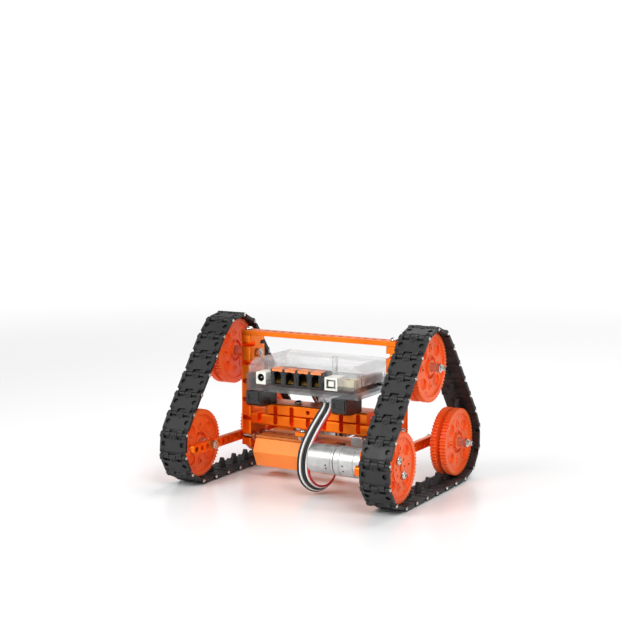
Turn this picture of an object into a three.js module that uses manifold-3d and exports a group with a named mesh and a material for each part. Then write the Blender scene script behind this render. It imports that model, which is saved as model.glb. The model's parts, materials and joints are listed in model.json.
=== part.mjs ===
// A small coding robot on two triangular tracks: slotted aluminium beams, six wheels, two gear motors,
// a battery case below and a controller in a clear case above.
// Millimetres. X across (the tracks lie at +X and -X), Y front (-) to back (+), Z up, floor at Z = 0.
import * as THREE from 'three';
import { mergeVertices } from 'three/addons/utils/BufferGeometryUtils.js';
import Module from 'manifold-3d';

const wasm = await Module();
wasm.setup();

// Fits
const gap = 0.3; // between pieces that touch, and round a turning shaft
const grid = 8; // hole pitch of the beam system

// Beams
const beamThick = 9.6;
const beamDeep = 24;
const uprightPastAxle = 16; // upright above the top axle
const uprightBottom = 26;
const uprightInner = 65; // inner face of an upright, from the middle
const crossUpperLength = 96;
const crossLowerMid = 50; // height of the lower cross beam's middle
const slotWide = 4;
const slotWeb = 1.3; // metal left behind a slot on the narrow faces
const slotIn = 8; // how far a slot runs in from a long edge
const beamHole = 3.6; // the single round hole of the upper cross beam
const stackBolts = [-24, 24]; // X of the bolts that hold the two cross beams together

// Flat bars
const barThick = 4;
const topBarDeep = 12;
const barCorner = 2;
const railHigh = 8;
const railHalf = 84;
const barHole = 4.4;

// Running gear
const axleHeight = 34;
const halfBase = 56; // front and rear axles, from the middle
const topAxleRise = 72; // top axle above the bottom ones
const trackMid = 94;
const trackWide = 26;
const linkCount = 26;
const knuckleRadius = 2.5;
const knuckleFlat = 1; // half width of the flat crest of a knuckle
const linkBelowPin = 1; // inner face of a link, below its pins
const linkAbovePin = 1.7; // tread face of a link, above its pins
const hornHigh = 9;
const hornThick = 3.2;
const hornFoot = 9;
const hornTip = 2.4;
const pinRadius = 1.2;
const pinProud = 0.6;
const rightPhase = 0; // where the first pin sits past the top, in links
const leftPhase = 0.78;
const wheelWide = 14;
const wheelRim = 5; // tread width of one wheel disc
const wheelHubDepth = 18.4; // radius at the bottom of the groove
const sleeveRadius = 3.6;
const sleeveProud = 5.2; // sleeve past the outer disc
const hubScrewCircle = 8;
const hubScrewTurn = 2.16; // radians, from +Y towards +Z
const axleRadius = 2;
const axleEnd = 113.5;
const nutThick = 3.2;
const nutRadius = 3.7;
const hubFlange = [12, 3]; // radius and thickness of a driven wheel's hub
const hubBarrel = 5; // radius

// Screws
const screwRadius = 1.9;
const headRadius = 3.5;
const headHigh = 2.2;
const threadPast = 0.7; // thread that shows past a nut
const topBarScrewDepth = 5; // in the end of an upright
const endScrewDepth = 12; // in the end of the lower cross beam

// Motors
const motorRadius = 12.2;
const motorRear = 21.5; // X of the motor's rear end
const canLength = 24.7;
const bracketThick = 3;
const shaftRadius = 2;
const socketSize = [7.6, 13, 8];
const motorSocketAt = [31, -31, 33]; // where the ribbon cable plugs in, on its underside
const motorEdge = 1.6; // rounding of the can's rear edge
const canStep = 0.2; // the can is this much smaller in radius than the gearbox
const bracketBorder = 1.2; // bracket past the gearbox all round
const bracketFlange = 18; // length of the flange beside the gearbox
const bracketCorner = 3;
const shaftRoom = 7; // length of the output shaft inside the gearbox

// Battery case
const batteryLength = 114;
const batteryHigh = 26.5;
const batteryBottom = 10;
const batteryFlat = 16; // half width of the flat top and bottom
const batteryCrease = 22; // half width at the crease
const batteryWall = 2;
const lidThick = 1.8;
const lidLedge = 3; // ledge under each long edge of the lid
const cellRadius = 9.2;
const cellLength = 65;
const cellButton = [3, 1]; // radius and height of a cell's positive end
const cellRibs = [-22, 22]; // X of the ribs that carry the cells
const hangerBoltAt = [-8, -20];
const hangerTabHalf = [5.5, 4.5];
const hangerTabThick = 3;
const hangerAngleAt = [35.5, 46.5]; // X of its two ends
const hangerAngleCorner = 3;
const hangerBack = 8; // Y that both hangers reach back to
const hangerAngleFront = -16;

// Controller
const caseHalf = 52;
const caseFront = -36;
const caseBack = 30;
const caseBottom = 79.5;
const trayHigh = 10.2;
const coverHigh = 16.6;
const caseWall = 2;
const coverChamfer = 6;
const boardRise = 4.2; // underside of the board above the tray's underside
const boardThick = 1.6;
const boardInset = 5;
const portCount = 4;
const portPitch = 12.4;
const portMid = -5.5; // middle of the row of ports
const portOpening = [7.8, 10.4];
const portHigh = 14;
const portDeep = 15;
const usbSize = [12, 15, 10.8];
const usbMid = 27;
const jackSize = [9.6, 13, 10.6];
const jackMid = -40;
const footWide = 14;
const footDeep = 28;
const footMid = [-47, 35];
const cableSocket = [13, 8, 4.5];
const cableSocketFront = [21, -30];
const cableSocketBack = [-21, 24.5];
const boardPosts = [[-42, -24], [42, -24], [-42, 18], [42, 18]];
const postRadius = 2.6;
// Parts on the board, each as its low and high X and Y and its height.
const boardParts = [
  [[-30, -8], [-14, 8], 6], [[16, 2], [30, 16], 2], [[34, -12], [44, 16], 9], [[-44, -6], [-36, 20], 8],
];
const canAt = [-4, 18]; // the round capacitor
const canSize = [4, 9]; // its radius and height
const buttonAt = [8, 6];
const buttonRadius = 2.5;
const buttonTravel = 0.6;
const buttonSwitch = [3.2, 2.6]; // radius and height of the switch under the button
const switchSlot = [0, 12]; // low and high Y of the slot in the tray's right wall
const switchSlotHigh = 3.4;
const switchMid = 4.5; // Y of the power switch at rest
const switchPad = 3.5; // half length of its inner part
const switchKnob = 1.5; // half length of its knob
const knobProud = 1.6;
const switchHigh = 2;
const portFloor = 1.4; // under each port's opening
const portPocket = 11;
const socketSetBack = 0.6; // front of the sockets behind the front of the case
const usbWall = 1.6;
const usbPocket = 9;
const jackHole = 3.3;

// Ribbon cables
const ribbonWide = 11.4;
const ribbonThick = 1.8;
const ribbonSteps = 44;

// Worked out
const uprightOuter = uprightInner + beamThick;
const uprightMid = uprightInner + beamThick / 2;
const crossLowerTop = crossLowerMid + beamThick / 2;
const crossUpperBottom = crossLowerTop + gap;
const crossUpperTop = crossUpperBottom + beamThick;
const railInner = uprightOuter + gap;
const railOuter = railInner + barThick;
const topBarMid = (topBarDeep - beamDeep) / 2; // its front is flush with the uprights
const pinLine = axleHeight - knuckleRadius; // pins of the loop, from each wheel's centre
const wheelTip = axleHeight - 2 * knuckleRadius - gap;
const wheelInner = trackMid - wheelWide / 2;
const wheelOuter = trackMid + wheelWide / 2;
const topAxle = axleHeight + topAxleRise;
const uprightTop = topAxle + uprightPastAxle;
const bracketInner = railInner - gap - bracketThick;
const motorFront = bracketInner - gap;
const gearboxRear = motorRear + canLength + gap;
const batteryTop = batteryBottom + batteryHigh;
const hangerTop = crossLowerMid - beamThick / 2 - gap;
// The three wheel centres of a track, in the order that the loop runs: top, front, back.
const wheelCentres = [[0, topAxle], [-halfBase, axleHeight], [halfBase, axleHeight]];
const trayTop = caseBottom + trayHigh;
const coverBottom = trayTop + gap;
const caseTop = coverBottom + coverHigh;
const socketFront = caseFront + socketSetBack;
const boardBottom = caseBottom + boardRise;
const boardTop = boardBottom + boardThick;

const anodised = new THREE.MeshStandardMaterial({ color: 0xf0761e, roughness: 0.38, metalness: 0.85 });
const wheelPlastic = new THREE.MeshStandardMaterial({ color: 0xff5a24, roughness: 0.5 });
const trackPlastic = new THREE.MeshStandardMaterial({ color: 0x262626, roughness: 0.6 });
const steel = new THREE.MeshStandardMaterial({ color: 0xc9c7c2, roughness: 0.3, metalness: 1 });
const motorSteel = new THREE.MeshStandardMaterial({ color: 0xbdbdbb, roughness: 0.4, metalness: 1 });
const batteryPaint = new THREE.MeshStandardMaterial({ color: 0xff8f3a, roughness: 0.55, metalness: 0.2 });
const cellWrap = new THREE.MeshStandardMaterial({ color: 0x2f6fb0, roughness: 0.45 });
const clearPlastic = new THREE.MeshStandardMaterial({
  color: 0xe8eef0, roughness: 0.1, transparent: true, opacity: 0.35,
});
const blackRubber = new THREE.MeshStandardMaterial({ color: 0x1c1c1c, roughness: 0.8 });
const boardGreen = new THREE.MeshStandardMaterial({ color: 0x4a2a22, roughness: 0.5 });
const portBlack = new THREE.MeshStandardMaterial({ color: 0x101010, roughness: 0.5 });
const portWhite = new THREE.MeshStandardMaterial({ color: 0xe6e8e0, roughness: 0.45 });
const ribbonSkin = new THREE.MeshStandardMaterial({ color: 0x9a1420, roughness: 0.5 });

const robot = new THREE.Group();

// A closed three.js geometry as a solid.
function solid(geometry) {
  const plain = geometry.clone();
  plain.deleteAttribute('normal');
  plain.deleteAttribute('uv');
  const merged = mergeVertices(plain, 1e-4);
  const mesh = new wasm.Mesh({
    numProp: 3,
    vertProperties: new Float32Array(merged.attributes.position.array),
    triVerts: new Uint32Array(merged.index.array),
  });
  return new wasm.Manifold(mesh);
}

// Puts a solid into the robot as a named mesh.
function addPiece(name, shape, material) {
  const data = shape.getMesh();
  const geometry = new THREE.BufferGeometry();
  geometry.setAttribute('position', new THREE.BufferAttribute(data.vertProperties, 3));
  geometry.setIndex(new THREE.BufferAttribute(data.triVerts, 1));
  geometry.computeVertexNormals();
  const mesh = new THREE.Mesh(geometry, material);
  mesh.name = name;
  robot.add(mesh);
}

// A block from its low and high corners.
function block(low, high) {
  const size = high.map((value, axis) => value - low[axis]);
  const geometry = new THREE.BoxGeometry(...size);
  geometry.translate(...low.map((value, axis) => value + size[axis] / 2));
  return solid(geometry);
}

// A round bar along X from x0 to x1.
function barX(radius, x0, x1, y, z, sides = 12) {
  const geometry = new THREE.CylinderGeometry(radius, radius, Math.abs(x1 - x0), sides);
  geometry.rotateZ(Math.PI / 2);
  geometry.translate((x0 + x1) / 2, y, z);
  return solid(geometry);
}

// A round bar along Z from z0 to z1.
function barZ(radius, z0, z1, x, y, sides = 12) {
  const geometry = new THREE.CylinderGeometry(radius, radius, z1 - z0, sides);
  geometry.rotateX(Math.PI / 2);
  geometry.translate(x, y, (z0 + z1) / 2);
  return solid(geometry);
}

// A round bar along Y from y0 to y1.
function barY(radius, y0, y1, x, z, sides = 10) {
  const geometry = new THREE.CylinderGeometry(radius, radius, y1 - y0, sides);
  geometry.translate(x, (y0 + y1) / 2, z);
  return solid(geometry);
}

// An outline in the YZ plane, given as [y, z] points, extruded along X from x0 to x1.
function extrudeX(points, x0, x1) {
  const outline = new THREE.Shape(points.map(([y, z]) => new THREE.Vector2(y, z)));
  const geometry = new THREE.ExtrudeGeometry(outline, { depth: x1 - x0, bevelEnabled: false });
  const turn = new THREE.Matrix4().makeBasis(
    new THREE.Vector3(0, 1, 0), new THREE.Vector3(0, 0, 1), new THREE.Vector3(1, 0, 0),
  );
  geometry.applyMatrix4(turn);
  geometry.translate(x0, 0, 0);
  return solid(geometry);
}

// A profile of [radius, x] points turned about an axis along X.
function turnedX(profile, y, z, sides = 24) {
  const geometry = new THREE.LatheGeometry(profile.map(([r, x]) => new THREE.Vector2(r, x)), sides);
  geometry.rotateZ(-Math.PI / 2);
  geometry.translate(0, y, z);
  return solid(geometry);
}

function joinAll(shapes) {
  return shapes.reduce((whole, shape) => whole.add(shape));
}

function cutAll(shape, cutters) {
  return cutters.reduce((left, cutter) => left.subtract(cutter), shape);
}

// The other half of the robot is the same, turned half a turn about Z.
function halfTurn(shape) {
  return shape.rotate([0, 0, 180]);
}

// --- Beams ---------------------------------------------------------------------------------------

// Slots of a beam: each is cut through a narrow face, leaves a web, and runs in on one wide face.
function slotCutter(alongX, at, webSide, wideFace, edge, centre) {
  const half = slotWide / 2;
  const reach = slotIn * -Math.sign(edge);
  const depthTo = wideFace + webSide * (beamThick - slotWeb);
  const wide = [wideFace - webSide, depthTo].sort((a, b) => a - b);
  const deep = [centre + edge - Math.sign(reach), centre + edge + reach].sort((a, b) => a - b);
  if (alongX) return block([at - half, deep[0], wide[0]], [at + half, deep[1], wide[1]]);
  return block([wide[0], deep[0], at - half], [wide[1], deep[1], at + half]);
}

function upright(side) {
  const half = beamDeep / 2;
  const faces = [side * uprightInner, side * uprightOuter].sort((a, b) => a - b);
  const body = block([faces[0], -half, uprightBottom], [faces[1], half, uprightTop]);
  const cutters = [];
  for (let z = uprightBottom + grid; z < uprightTop; z += 2 * grid) {
    for (const edge of [-half, half]) {
      cutters.push(slotCutter(false, z, side, side * uprightInner, edge, 0));
    }
  }
  const railHole = barHole / 2;
  const [x0, x1] = [faces[0] - 1, faces[1] + 1];
  for (const y of [-grid, grid]) cutters.push(barX(railHole, x0, x1, y, axleHeight));
  cutters.push(barX(axleRadius + gap, x0, x1, 0, topAxle), barX(railHole, x0, x1, 0, crossLowerMid));
  const screwFrom = uprightTop - topBarScrewDepth - gap;
  cutters.push(barZ(screwRadius + gap, screwFrom, uprightTop + 1, side * uprightMid, topBarMid));
  return cutAll(body, cutters);
}

// webUp is +1 where the slots open on the top face and -1 where they open on the underside.
function crossBeam(length, bottom, webUp, holeAt) {
  const half = beamDeep / 2;
  const body = block([-length / 2, -half, bottom], [length / 2, half, bottom + beamThick]);
  const openFace = webUp > 0 ? bottom + beamThick : bottom;
  const cutters = [];
  const count = Math.floor(length / (2 * grid));
  for (let i = 0; i < count; i += 1) {
    const x = (i - (count - 1) / 2) * 2 * grid;
    for (const edge of [-half, half]) {
      if (holeAt === x && edge < 0) {
        cutters.push(barY(beamHole / 2, -half - 1, -half + slotIn, x, bottom + beamThick / 2));
      } else {
        cutters.push(slotCutter(true, x, -webUp, openFace, edge, 0));
      }
    }
  }
  for (const x of stackBolts) {
    cutters.push(barZ(screwRadius + gap, bottom - 1, bottom + beamThick + 1, x, 0));
  }
  return cutAll(body, cutters);
}

function lowerCrossBeam() {
  const length = 2 * (uprightInner - gap);
  const whole = crossBeam(2 * uprightInner, crossLowerMid - beamThick / 2, 1, null);
  const trim = block([-length / 2, -beamDeep, 0], [length / 2, beamDeep, uprightTop]);
  const holes = [-1, 1].map((side) => {
    const from = side * (uprightInner - endScrewDepth - gap);
    return barX(screwRadius + gap, from, side * (uprightInner + 1), 0, crossLowerMid);
  });
  return cutAll(whole.intersect(trim), holes);
}

function topBar() {
  const low = uprightTop + gap;
  const [front, back] = [topBarMid - topBarDeep / 2, topBarMid + topBarDeep / 2];
  const body = block([-uprightOuter, front, low], [uprightOuter, back, low + barThick]);
  const places = [-uprightMid, uprightMid];
  const count = Math.floor(2 * uprightMid / grid - 1);
  for (let i = 0; i < count; i += 1) places.push((i - (count - 1) / 2) * grid);
  const holes = places.map((x) => barZ(barHole / 2, low - 1, low + barThick + 1, x, topBarMid, 8));
  return cutAll(body, holes);
}

function sideRail(side) {
  const corner = barCorner;
  const [low, high] = [axleHeight - railHigh / 2, axleHeight + railHigh / 2];
  const points = [
    [-railHalf + corner, low], [railHalf - corner, low], [railHalf, low + corner],
    [railHalf, high - corner], [railHalf - corner, high], [-railHalf + corner, high],
    [-railHalf, high - corner], [-railHalf, low + corner],
  ];
  const faces = [side * railInner, side * railOuter].sort((a, b) => a - b);
  const hole = (radius, y) => barX(radius, faces[0] - 1, faces[1] + 1, y, axleHeight, 8);
  const axleHole = axleRadius + 2 * gap;
  const holes = [hole(axleHole, -halfBase), hole(axleHole, halfBase)];
  const clear = axleHole + barHole / 2 + gap; // plain holes keep this far from an axle's
  const count = Math.floor((railHalf - grid / 2) / grid);
  for (let k = -count; k <= count; k += 1) {
    if (Math.abs(Math.abs(k * grid) - halfBase) > clear) holes.push(hole(barHole / 2, k * grid));
  }
  return cutAll(extrudeX(points, ...faces), holes);
}

// --- Screws --------------------------------------------------------------------------------------

// A button-head screw along X with its nut; its head is on the outside.
function railScrew(side, y) {
  const head = railOuter + gap;
  const nutFace = uprightInner - gap;
  const tip = nutFace - nutThick - threadPast;
  return joinAll([
    barX(headRadius, side * head, side * (head + headHigh), y, axleHeight),
    barX(screwRadius, side * tip, side * (head + headHigh / 2), y, axleHeight, 8),
    barX(nutRadius, side * (nutFace - nutThick), side * nutFace, y, axleHeight, 6),
  ]);
}

function uprightScrew(side) {
  const head = uprightOuter + gap;
  const tip = uprightInner - endScrewDepth;
  return joinAll([
    barX(headRadius, side * head, side * (head + headHigh), 0, crossLowerMid),
    barX(screwRadius, side * tip, side * (head + headHigh / 2), 0, crossLowerMid, 8),
  ]);
}

function topBarScrew(side) {
  const x = side * uprightMid;
  const head = uprightTop + gap + barThick + gap;
  return joinAll([
    barZ(headRadius, head, head + headHigh, x, topBarMid),
    barZ(screwRadius, uprightTop - topBarScrewDepth, head + headHigh / 2, x, topBarMid, 8),
  ]);
}

// Holds the two cross beams together.
function stackBolt(x) {
  const head = crossUpperTop + gap;
  const nutTop = crossLowerMid - beamThick / 2 - gap;
  return joinAll([
    barZ(headRadius, head, head + headHigh, x, 0),
    barZ(screwRadius, nutTop - nutThick - threadPast, head + headHigh / 2, x, 0, 8),
    barZ(nutRadius, nutTop - nutThick, nutTop, x, 0, 6),
  ]);
}

// --- Battery hangers -----------------------------------------------------------------------------

function hangerTab() {
  const [x, y] = hangerBoltAt;
  const [halfX, halfY] = hangerTabHalf;
  const low = hangerTop - hangerTabThick;
  const body = block([x - halfX, y - halfY, low], [x + halfX, hangerBack, hangerTop]);
  return body.subtract(barZ(screwRadius + gap, low - 1, hangerTop + 1, x, y, 12));
}

function hangerBolt() {
  const [x, y] = hangerBoltAt;
  const nutTop = hangerTop - hangerTabThick - gap;
  return joinAll([
    barZ(headRadius, hangerTop + gap, hangerTop + gap + headHigh, x, y),
    barZ(screwRadius, batteryTop - 2 * threadPast, hangerTop + 1, x, y, 8),
    barZ(nutRadius, nutTop - nutThick, nutTop, x, y, 6),
  ]);
}

// A short length of angle between the lower cross beam and the battery lid.
function hangerAngle() {
  const [left, right] = hangerAngleAt;
  const low = batteryTop + gap;
  const corner = hangerAngleCorner;
  const soft = 0.3 * corner;
  const outline = new THREE.Shape();
  outline.moveTo(left, low);
  outline.lineTo(right, low);
  outline.lineTo(right, hangerTop - corner);
  outline.lineTo(right - soft, hangerTop - soft);
  outline.lineTo(right - corner, hangerTop);
  outline.lineTo(left, hangerTop);
  const depth = hangerBack - hangerAngleFront;
  const geometry = new THREE.ExtrudeGeometry(outline, { depth, bevelEnabled: false });
  geometry.rotateX(Math.PI / 2);
  geometry.translate(0, hangerBack, 0);
  return solid(geometry);
}

// --- Tracks --------------------------------------------------------------------------------------

// The loop that the pins follow: three straights and three arcs round the wheels.
function pinLoop() {
  const pieces = [];
  const normals = wheelCentres.map(([y, z], i) => {
    const [nextY, nextZ] = wheelCentres[(i + 1) % 3];
    const length = Math.hypot(nextY - y, nextZ - z);
    return { angle: Math.atan2(-(nextY - y) / length, (nextZ - z) / length), length };
  });
  normals.forEach(({ angle, length }, i) => {
    const from = wheelCentres[i];
    const to = wheelCentres[(i + 1) % 3];
    const turn = (normals[(i + 1) % 3].angle - angle + 2 * Math.PI) % (2 * Math.PI);
    pieces.push({ length, at: (s) => {
      const t = s / length;
      return [
        from[0] + (to[0] - from[0]) * t + pinLine * Math.cos(angle),
        from[1] + (to[1] - from[1]) * t + pinLine * Math.sin(angle),
      ];
    } });
    pieces.push({ length: pinLine * turn, at: (s) => {
      const a = angle + s / pinLine;
      return [to[0] + pinLine * Math.cos(a), to[1] + pinLine * Math.sin(a)];
    } });
  });
  return pieces;
}

// The pins of one track, evenly spaced along the loop from the middle of its top arc.
function pinPlaces(phase) {
  const pieces = pinLoop();
  const total = pieces.reduce((sum, piece) => sum + piece.length, 0);
  const pitch = total / linkCount;
  const places = [];
  for (let i = 0; i < linkCount; i += 1) {
    let s = (total - pieces[5].length / 2 + (i + phase) * pitch) % total;
    let k = 0;
    while (s > pieces[k].length) {
      s -= pieces[k].length;
      k = (k + 1) % pieces.length;
    }
    places.push(pieces[k].at(s));
  }
  return places;
}

// A point of a link: along is from its first pin towards the next, out is away from the wheels.
function onLink([y0, z0], [y1, z1], along, out) {
  const length = Math.hypot(y1 - y0, z1 - z0);
  const [dy, dz] = [(y1 - y0) / length, (z1 - z0) / length];
  return [y0 + dy * along + dz * out, z0 + dz * along - dy * out];
}

// The linked loop from the side: a raised knuckle at each pin, a tread plate from pin to pin.
function track(x, phase) {
  const pins = pinPlaces(phase);
  const half = trackWide / 2;
  const outside = [];
  const inside = [];
  const extras = [];
  pins.forEach((pin, i) => {
    const next = pins[(i + 1) % linkCount];
    const before = pins[(i + linkCount - 1) % linkCount];
    const length = Math.hypot(next[0] - pin[0], next[1] - pin[1]);
    const on = (along, out) => onLink(pin, next, along, out);
    outside.push(onLink(before, pin, length - knuckleFlat, knuckleRadius));
    outside.push(on(knuckleFlat, knuckleRadius), on(knuckleRadius, linkAbovePin));
    outside.push(on(length - knuckleRadius, linkAbovePin));
    inside.push(on(0, -linkBelowPin));
    const [middle, foot, tip] = [length / 2, hornFoot / 2, hornTip / 2];
    const [root, top] = [0.2 - linkBelowPin, -linkBelowPin - hornHigh];
    extras.push(extrudeX([
      on(middle - foot, root), on(middle + foot, root), on(middle + tip, top), on(middle - tip, top),
    ], x - hornThick / 2, x + hornThick / 2));
    extras.push(barX(pinRadius, x - half - pinProud, x + half + pinProud, ...pin, 5));
  });
  const loop = extrudeX(outside, x - half, x + half).subtract(extrudeX(inside, x - half - 1, x + half + 1));
  return joinAll([loop, ...extras]);
}

// --- Wheels --------------------------------------------------------------------------------------

// One of the two discs of a wheel; outward is +1 for the disc on the outer side.
function wheelDisc(side, outward, y, z, driven) {
  const mid = side * trackMid;
  const sign = side * outward;
  const bore = sleeveRadius + gap;
  const face = wheelWide / 2;
  const groove = face - wheelRim;
  const meet = gap / 2;
  const profile = [
    [bore, mid + sign * face], [bore, mid + sign * meet], [wheelHubDepth, mid + sign * meet],
    [wheelHubDepth, mid + sign * (groove - 0.2)], [wheelTip, mid + sign * groove],
    [wheelTip, mid + sign * face], [bore, mid + sign * face],
  ];
  if (sign < 0) profile.reverse();
  const disc = turnedX(profile, y, z);
  if (!driven) return disc;
  const holes = hubScrews(y, z).map(([hy, hz]) => {
    return barX(screwRadius + gap, mid - wheelWide, mid + wheelWide, hy, hz, 8);
  });
  return cutAll(disc, holes);
}

// The two screws that hold a driven wheel to its hub, each as [y, z].
function hubScrews(y, z) {
  return [0, Math.PI].map((half) => {
    const a = hubScrewTurn + half;
    return [y + hubScrewCircle * Math.cos(a), z + hubScrewCircle * Math.sin(a)];
  });
}

// A fixed axle with its nuts and the sleeve that a free wheel turns on.
function idlerAxle(side, y, z, throughUpright) {
  const inner = throughUpright ? uprightInner - gap : railInner - gap;
  const outer = throughUpright ? uprightOuter + gap : railOuter + gap;
  const sleeveEnd = wheelOuter + sleeveProud;
  return joinAll([
    barX(axleRadius, side * (inner - nutThick - threadPast), side * axleEnd, y, z, 8),
    barX(nutRadius, side * (inner - nutThick), side * inner, y, z, 6),
    barX(nutRadius, side * outer, side * (outer + nutThick), y, z, 6),
    barX(sleeveRadius + 1, side * (outer + nutThick - 0.2), side * (wheelInner - gap), y, z),
    barX(sleeveRadius, side * (wheelInner - gap - 0.2), side * sleeveEnd, y, z),
    barX(nutRadius, side * (sleeveEnd - 0.1), side * (sleeveEnd + nutThick), y, z, 6),
  ]);
}

// A motor's output shaft with the flanged hub on it and the two screws that hold the wheel.
function driveHub(side, y, z) {
  const flangeOuter = wheelInner - gap;
  const [flangeRadius, flangeThick] = hubFlange;
  const head = wheelOuter + gap;
  const screws = hubScrews(y, z).map(([hy, hz]) => {
    return barX(screwRadius, side * (flangeOuter - 1), side * (head + 1), hy, hz, 8)
      .add(barX(headRadius, side * head, side * (head + headHigh), hy, hz, 10));
  });
  return joinAll([
    barX(shaftRadius, side * (motorFront - shaftRoom), side * (railOuter + 2), y, z, 8),
    barX(hubBarrel, side * (railOuter + 2 * gap), side * flangeOuter, y, z),
    barX(flangeRadius, side * (flangeOuter - flangeThick), side * flangeOuter, y, z, 16),
    barX(sleeveRadius, side * (flangeOuter - 1), side * (wheelOuter - 1), y, z),
    ...screws,
  ]);
}

// --- Motors (the front right one; the other is half a turn round) ----------------------------------

function motorCan() {
  const end = motorRear + canLength;
  const [sx, sy, sz] = socketSize;
  const profile = [
    [0, motorRear], [motorRadius - motorEdge, motorRear], [motorRadius - canStep, motorRear + motorEdge],
    [motorRadius - canStep, end], [0, end],
  ];
  const [x, y, z] = motorSocketAt;
  const socket = block([x - sx / 2, y - sy / 2, z], [x + sx / 2, y + sy / 2, z + sz]);
  const arm = block([x - 2, -halfBase + motorRadius - 2, z + 2], [x + 2, y, z + 6]);
  return joinAll([turnedX(profile, -halfBase, axleHeight, 20), arm, socket]);
}

function gearbox() {
  const edge = motorEdge / 2;
  const profile = [
    [0, gearboxRear], [motorRadius, gearboxRear], [motorRadius, motorFront - edge],
    [motorRadius - edge, motorFront], [0, motorFront],
  ];
  const boreEnd = motorFront - shaftRoom - 1;
  const bore = barX(shaftRadius + gap, boreEnd, motorFront + 1, -halfBase, axleHeight);
  return turnedX(profile, -halfBase, axleHeight, 20).subtract(bore);
}

function motorBracket() {
  const half = motorRadius + bracketBorder;
  const corner = bracketCorner;
  const [y0, y1] = [-halfBase - half, -halfBase + half];
  const [z0, z1] = [axleHeight - half, axleHeight + half];
  const plate = extrudeX([
    [y0 + corner, z0], [y1 - corner, z0], [y1, z0 + corner], [y1, z1 - corner],
    [y1 - corner, z1], [y0 + corner, z1], [y0, z1 - corner], [y0, z0 + corner],
  ], bracketInner, bracketInner + bracketThick);
  const flangeBack = y1 + bracketThick / 2;
  const flange = block(
    [bracketInner - bracketFlange, flangeBack - bracketThick, z0 + corner],
    [bracketInner + bracketThick, flangeBack, z1 - 2 * corner],
  );
  const plateOuter = bracketInner + bracketThick;
  const shaftHole = barX(shaftRadius + 1, bracketInner - 1, plateOuter + 1, -halfBase, axleHeight);
  const roomEnd = bracketInner - 2 * bracketFlange;
  const room = barX(motorRadius + gap, roomEnd, bracketInner - 0.001, -halfBase, axleHeight, 20);
  const holes = [-0.75, 0.75].map((step) => {
    return barY(barHole / 2, flangeBack - 2 * bracketThick, flangeBack + 1,
      bracketInner - bracketFlange / 2, axleHeight + step * grid);
  });
  return cutAll(plate.add(flange.subtract(room)), [shaftHole, ...holes]);
}

// --- Battery case --------------------------------------------------------------------------------

function hexOutline(inset) {
  const [low, high] = [batteryBottom + inset, batteryTop - inset];
  const mid = (low + high) / 2;
  const [flat, crease] = [batteryFlat - inset * 0.6, batteryCrease - inset];
  return [[-flat, low], [flat, low], [crease, mid], [flat, high], [-flat, high], [-crease, mid]];
}

function batteryCase() {
  const half = batteryLength / 2;
  const lidSeat = batteryTop - lidThick - gap;
  const mouthHalf = batteryFlat - lidLedge;
  const hollow = extrudeX(hexOutline(batteryWall), -half + batteryWall, half - batteryWall);
  const mouth = block(
    [-half + batteryWall, -mouthHalf, lidSeat - 6], [half - batteryWall, mouthHalf, batteryTop + 1],
  );
  const seat = block([-half - 1, -batteryFlat - 4, lidSeat], [half + 1, batteryFlat + 4, batteryTop + 1]);
  const ribTop = batteryBottom + batteryHigh / 2 - cellRadius - gap;
  const ribs = cellRibs.map((x) => block([x - 2, -12, batteryBottom + 1], [x + 2, 12, ribTop]));
  return joinAll([cutAll(extrudeX(hexOutline(0), -half, half), [hollow, mouth, seat]), ...ribs]);
}

function batteryLid() {
  const half = batteryLength / 2;
  const low = batteryTop - lidThick;
  const body = block([-half, -batteryFlat, low], [half, batteryFlat, batteryTop]);
  const holes = [];
  for (let x = 4 * grid; x <= 6 * grid; x += grid) {
    for (const side of [-1, 1]) holes.push(barZ(barHole / 2, low - 1, batteryTop + 1, side * x, 0, 8));
  }
  return cutAll(body, holes);
}

// Two cells side by side, joined by the welded strip across one end.
function batteryCells() {
  const z = batteryBottom + batteryHigh / 2;
  const half = cellLength / 2;
  const [button, rise] = cellButton;
  const profile = [
    [0, -half], [cellRadius, -half], [cellRadius, half - rise], [button, half - rise],
    [button, half], [0, half],
  ];
  const cells = [-1, 1].map((side) => turnedX(profile, side * (cellRadius + gap / 2), z, 16));
  const strip = block([-half - 0.6, -cellRadius, z - 3], [-half + 0.2, cellRadius, z + 3]);
  return joinAll([...cells, strip]);
}

// --- Controller ----------------------------------------------------------------------------------

// Blocks that the sockets on the front edge of the board fill, with room round them.
function frontNotches(low, high) {
  const row = (portCount - 1) * portPitch / 2 + portPitch / 2;
  const spans = [
    [portMid - row, portMid + row, portHigh], [usbMid - usbSize[0] / 2, usbMid + usbSize[0] / 2, usbSize[2]],
    [jackMid - jackSize[0] / 2, jackMid + jackSize[0] / 2, jackSize[2]],
  ];
  return spans.map(([x0, x1, tall]) => block(
    [x0 - gap, caseFront - 1, Math.max(low, boardTop - 0.5)],
    [x1 + gap, caseFront + caseWall + 1, Math.min(high, boardTop + gap + tall + gap)],
  ));
}

function tray() {
  const inner = caseHalf - caseWall;
  const shell = block([-caseHalf, caseFront, caseBottom], [caseHalf, caseBack, trayTop]).subtract(
    block([-inner, caseFront + caseWall, caseBottom + caseWall], [inner, caseBack - caseWall, trayTop + 1]),
  );
  const posts = boardPosts.map(([x, y]) => barZ(postRadius, caseBottom + 1, boardBottom - gap, x, y, 10));
  const [w, d, h] = cableSocket;
  const sockets = [cableSocketFront, cableSocketBack].map(([x, y]) => block(
    [x - w / 2, y - d / 2, caseBottom - h], [x + w / 2, y + d / 2, caseBottom + 1],
  ));
  const slot = block(
    [inner - 1, switchSlot[0], boardTop + gap], [caseHalf + 1, switchSlot[1], boardTop + switchSlotHigh],
  );
  return cutAll(joinAll([shell, ...posts, ...sockets]), [...frontNotches(caseBottom, trayTop + 1), slot]);
}

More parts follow.
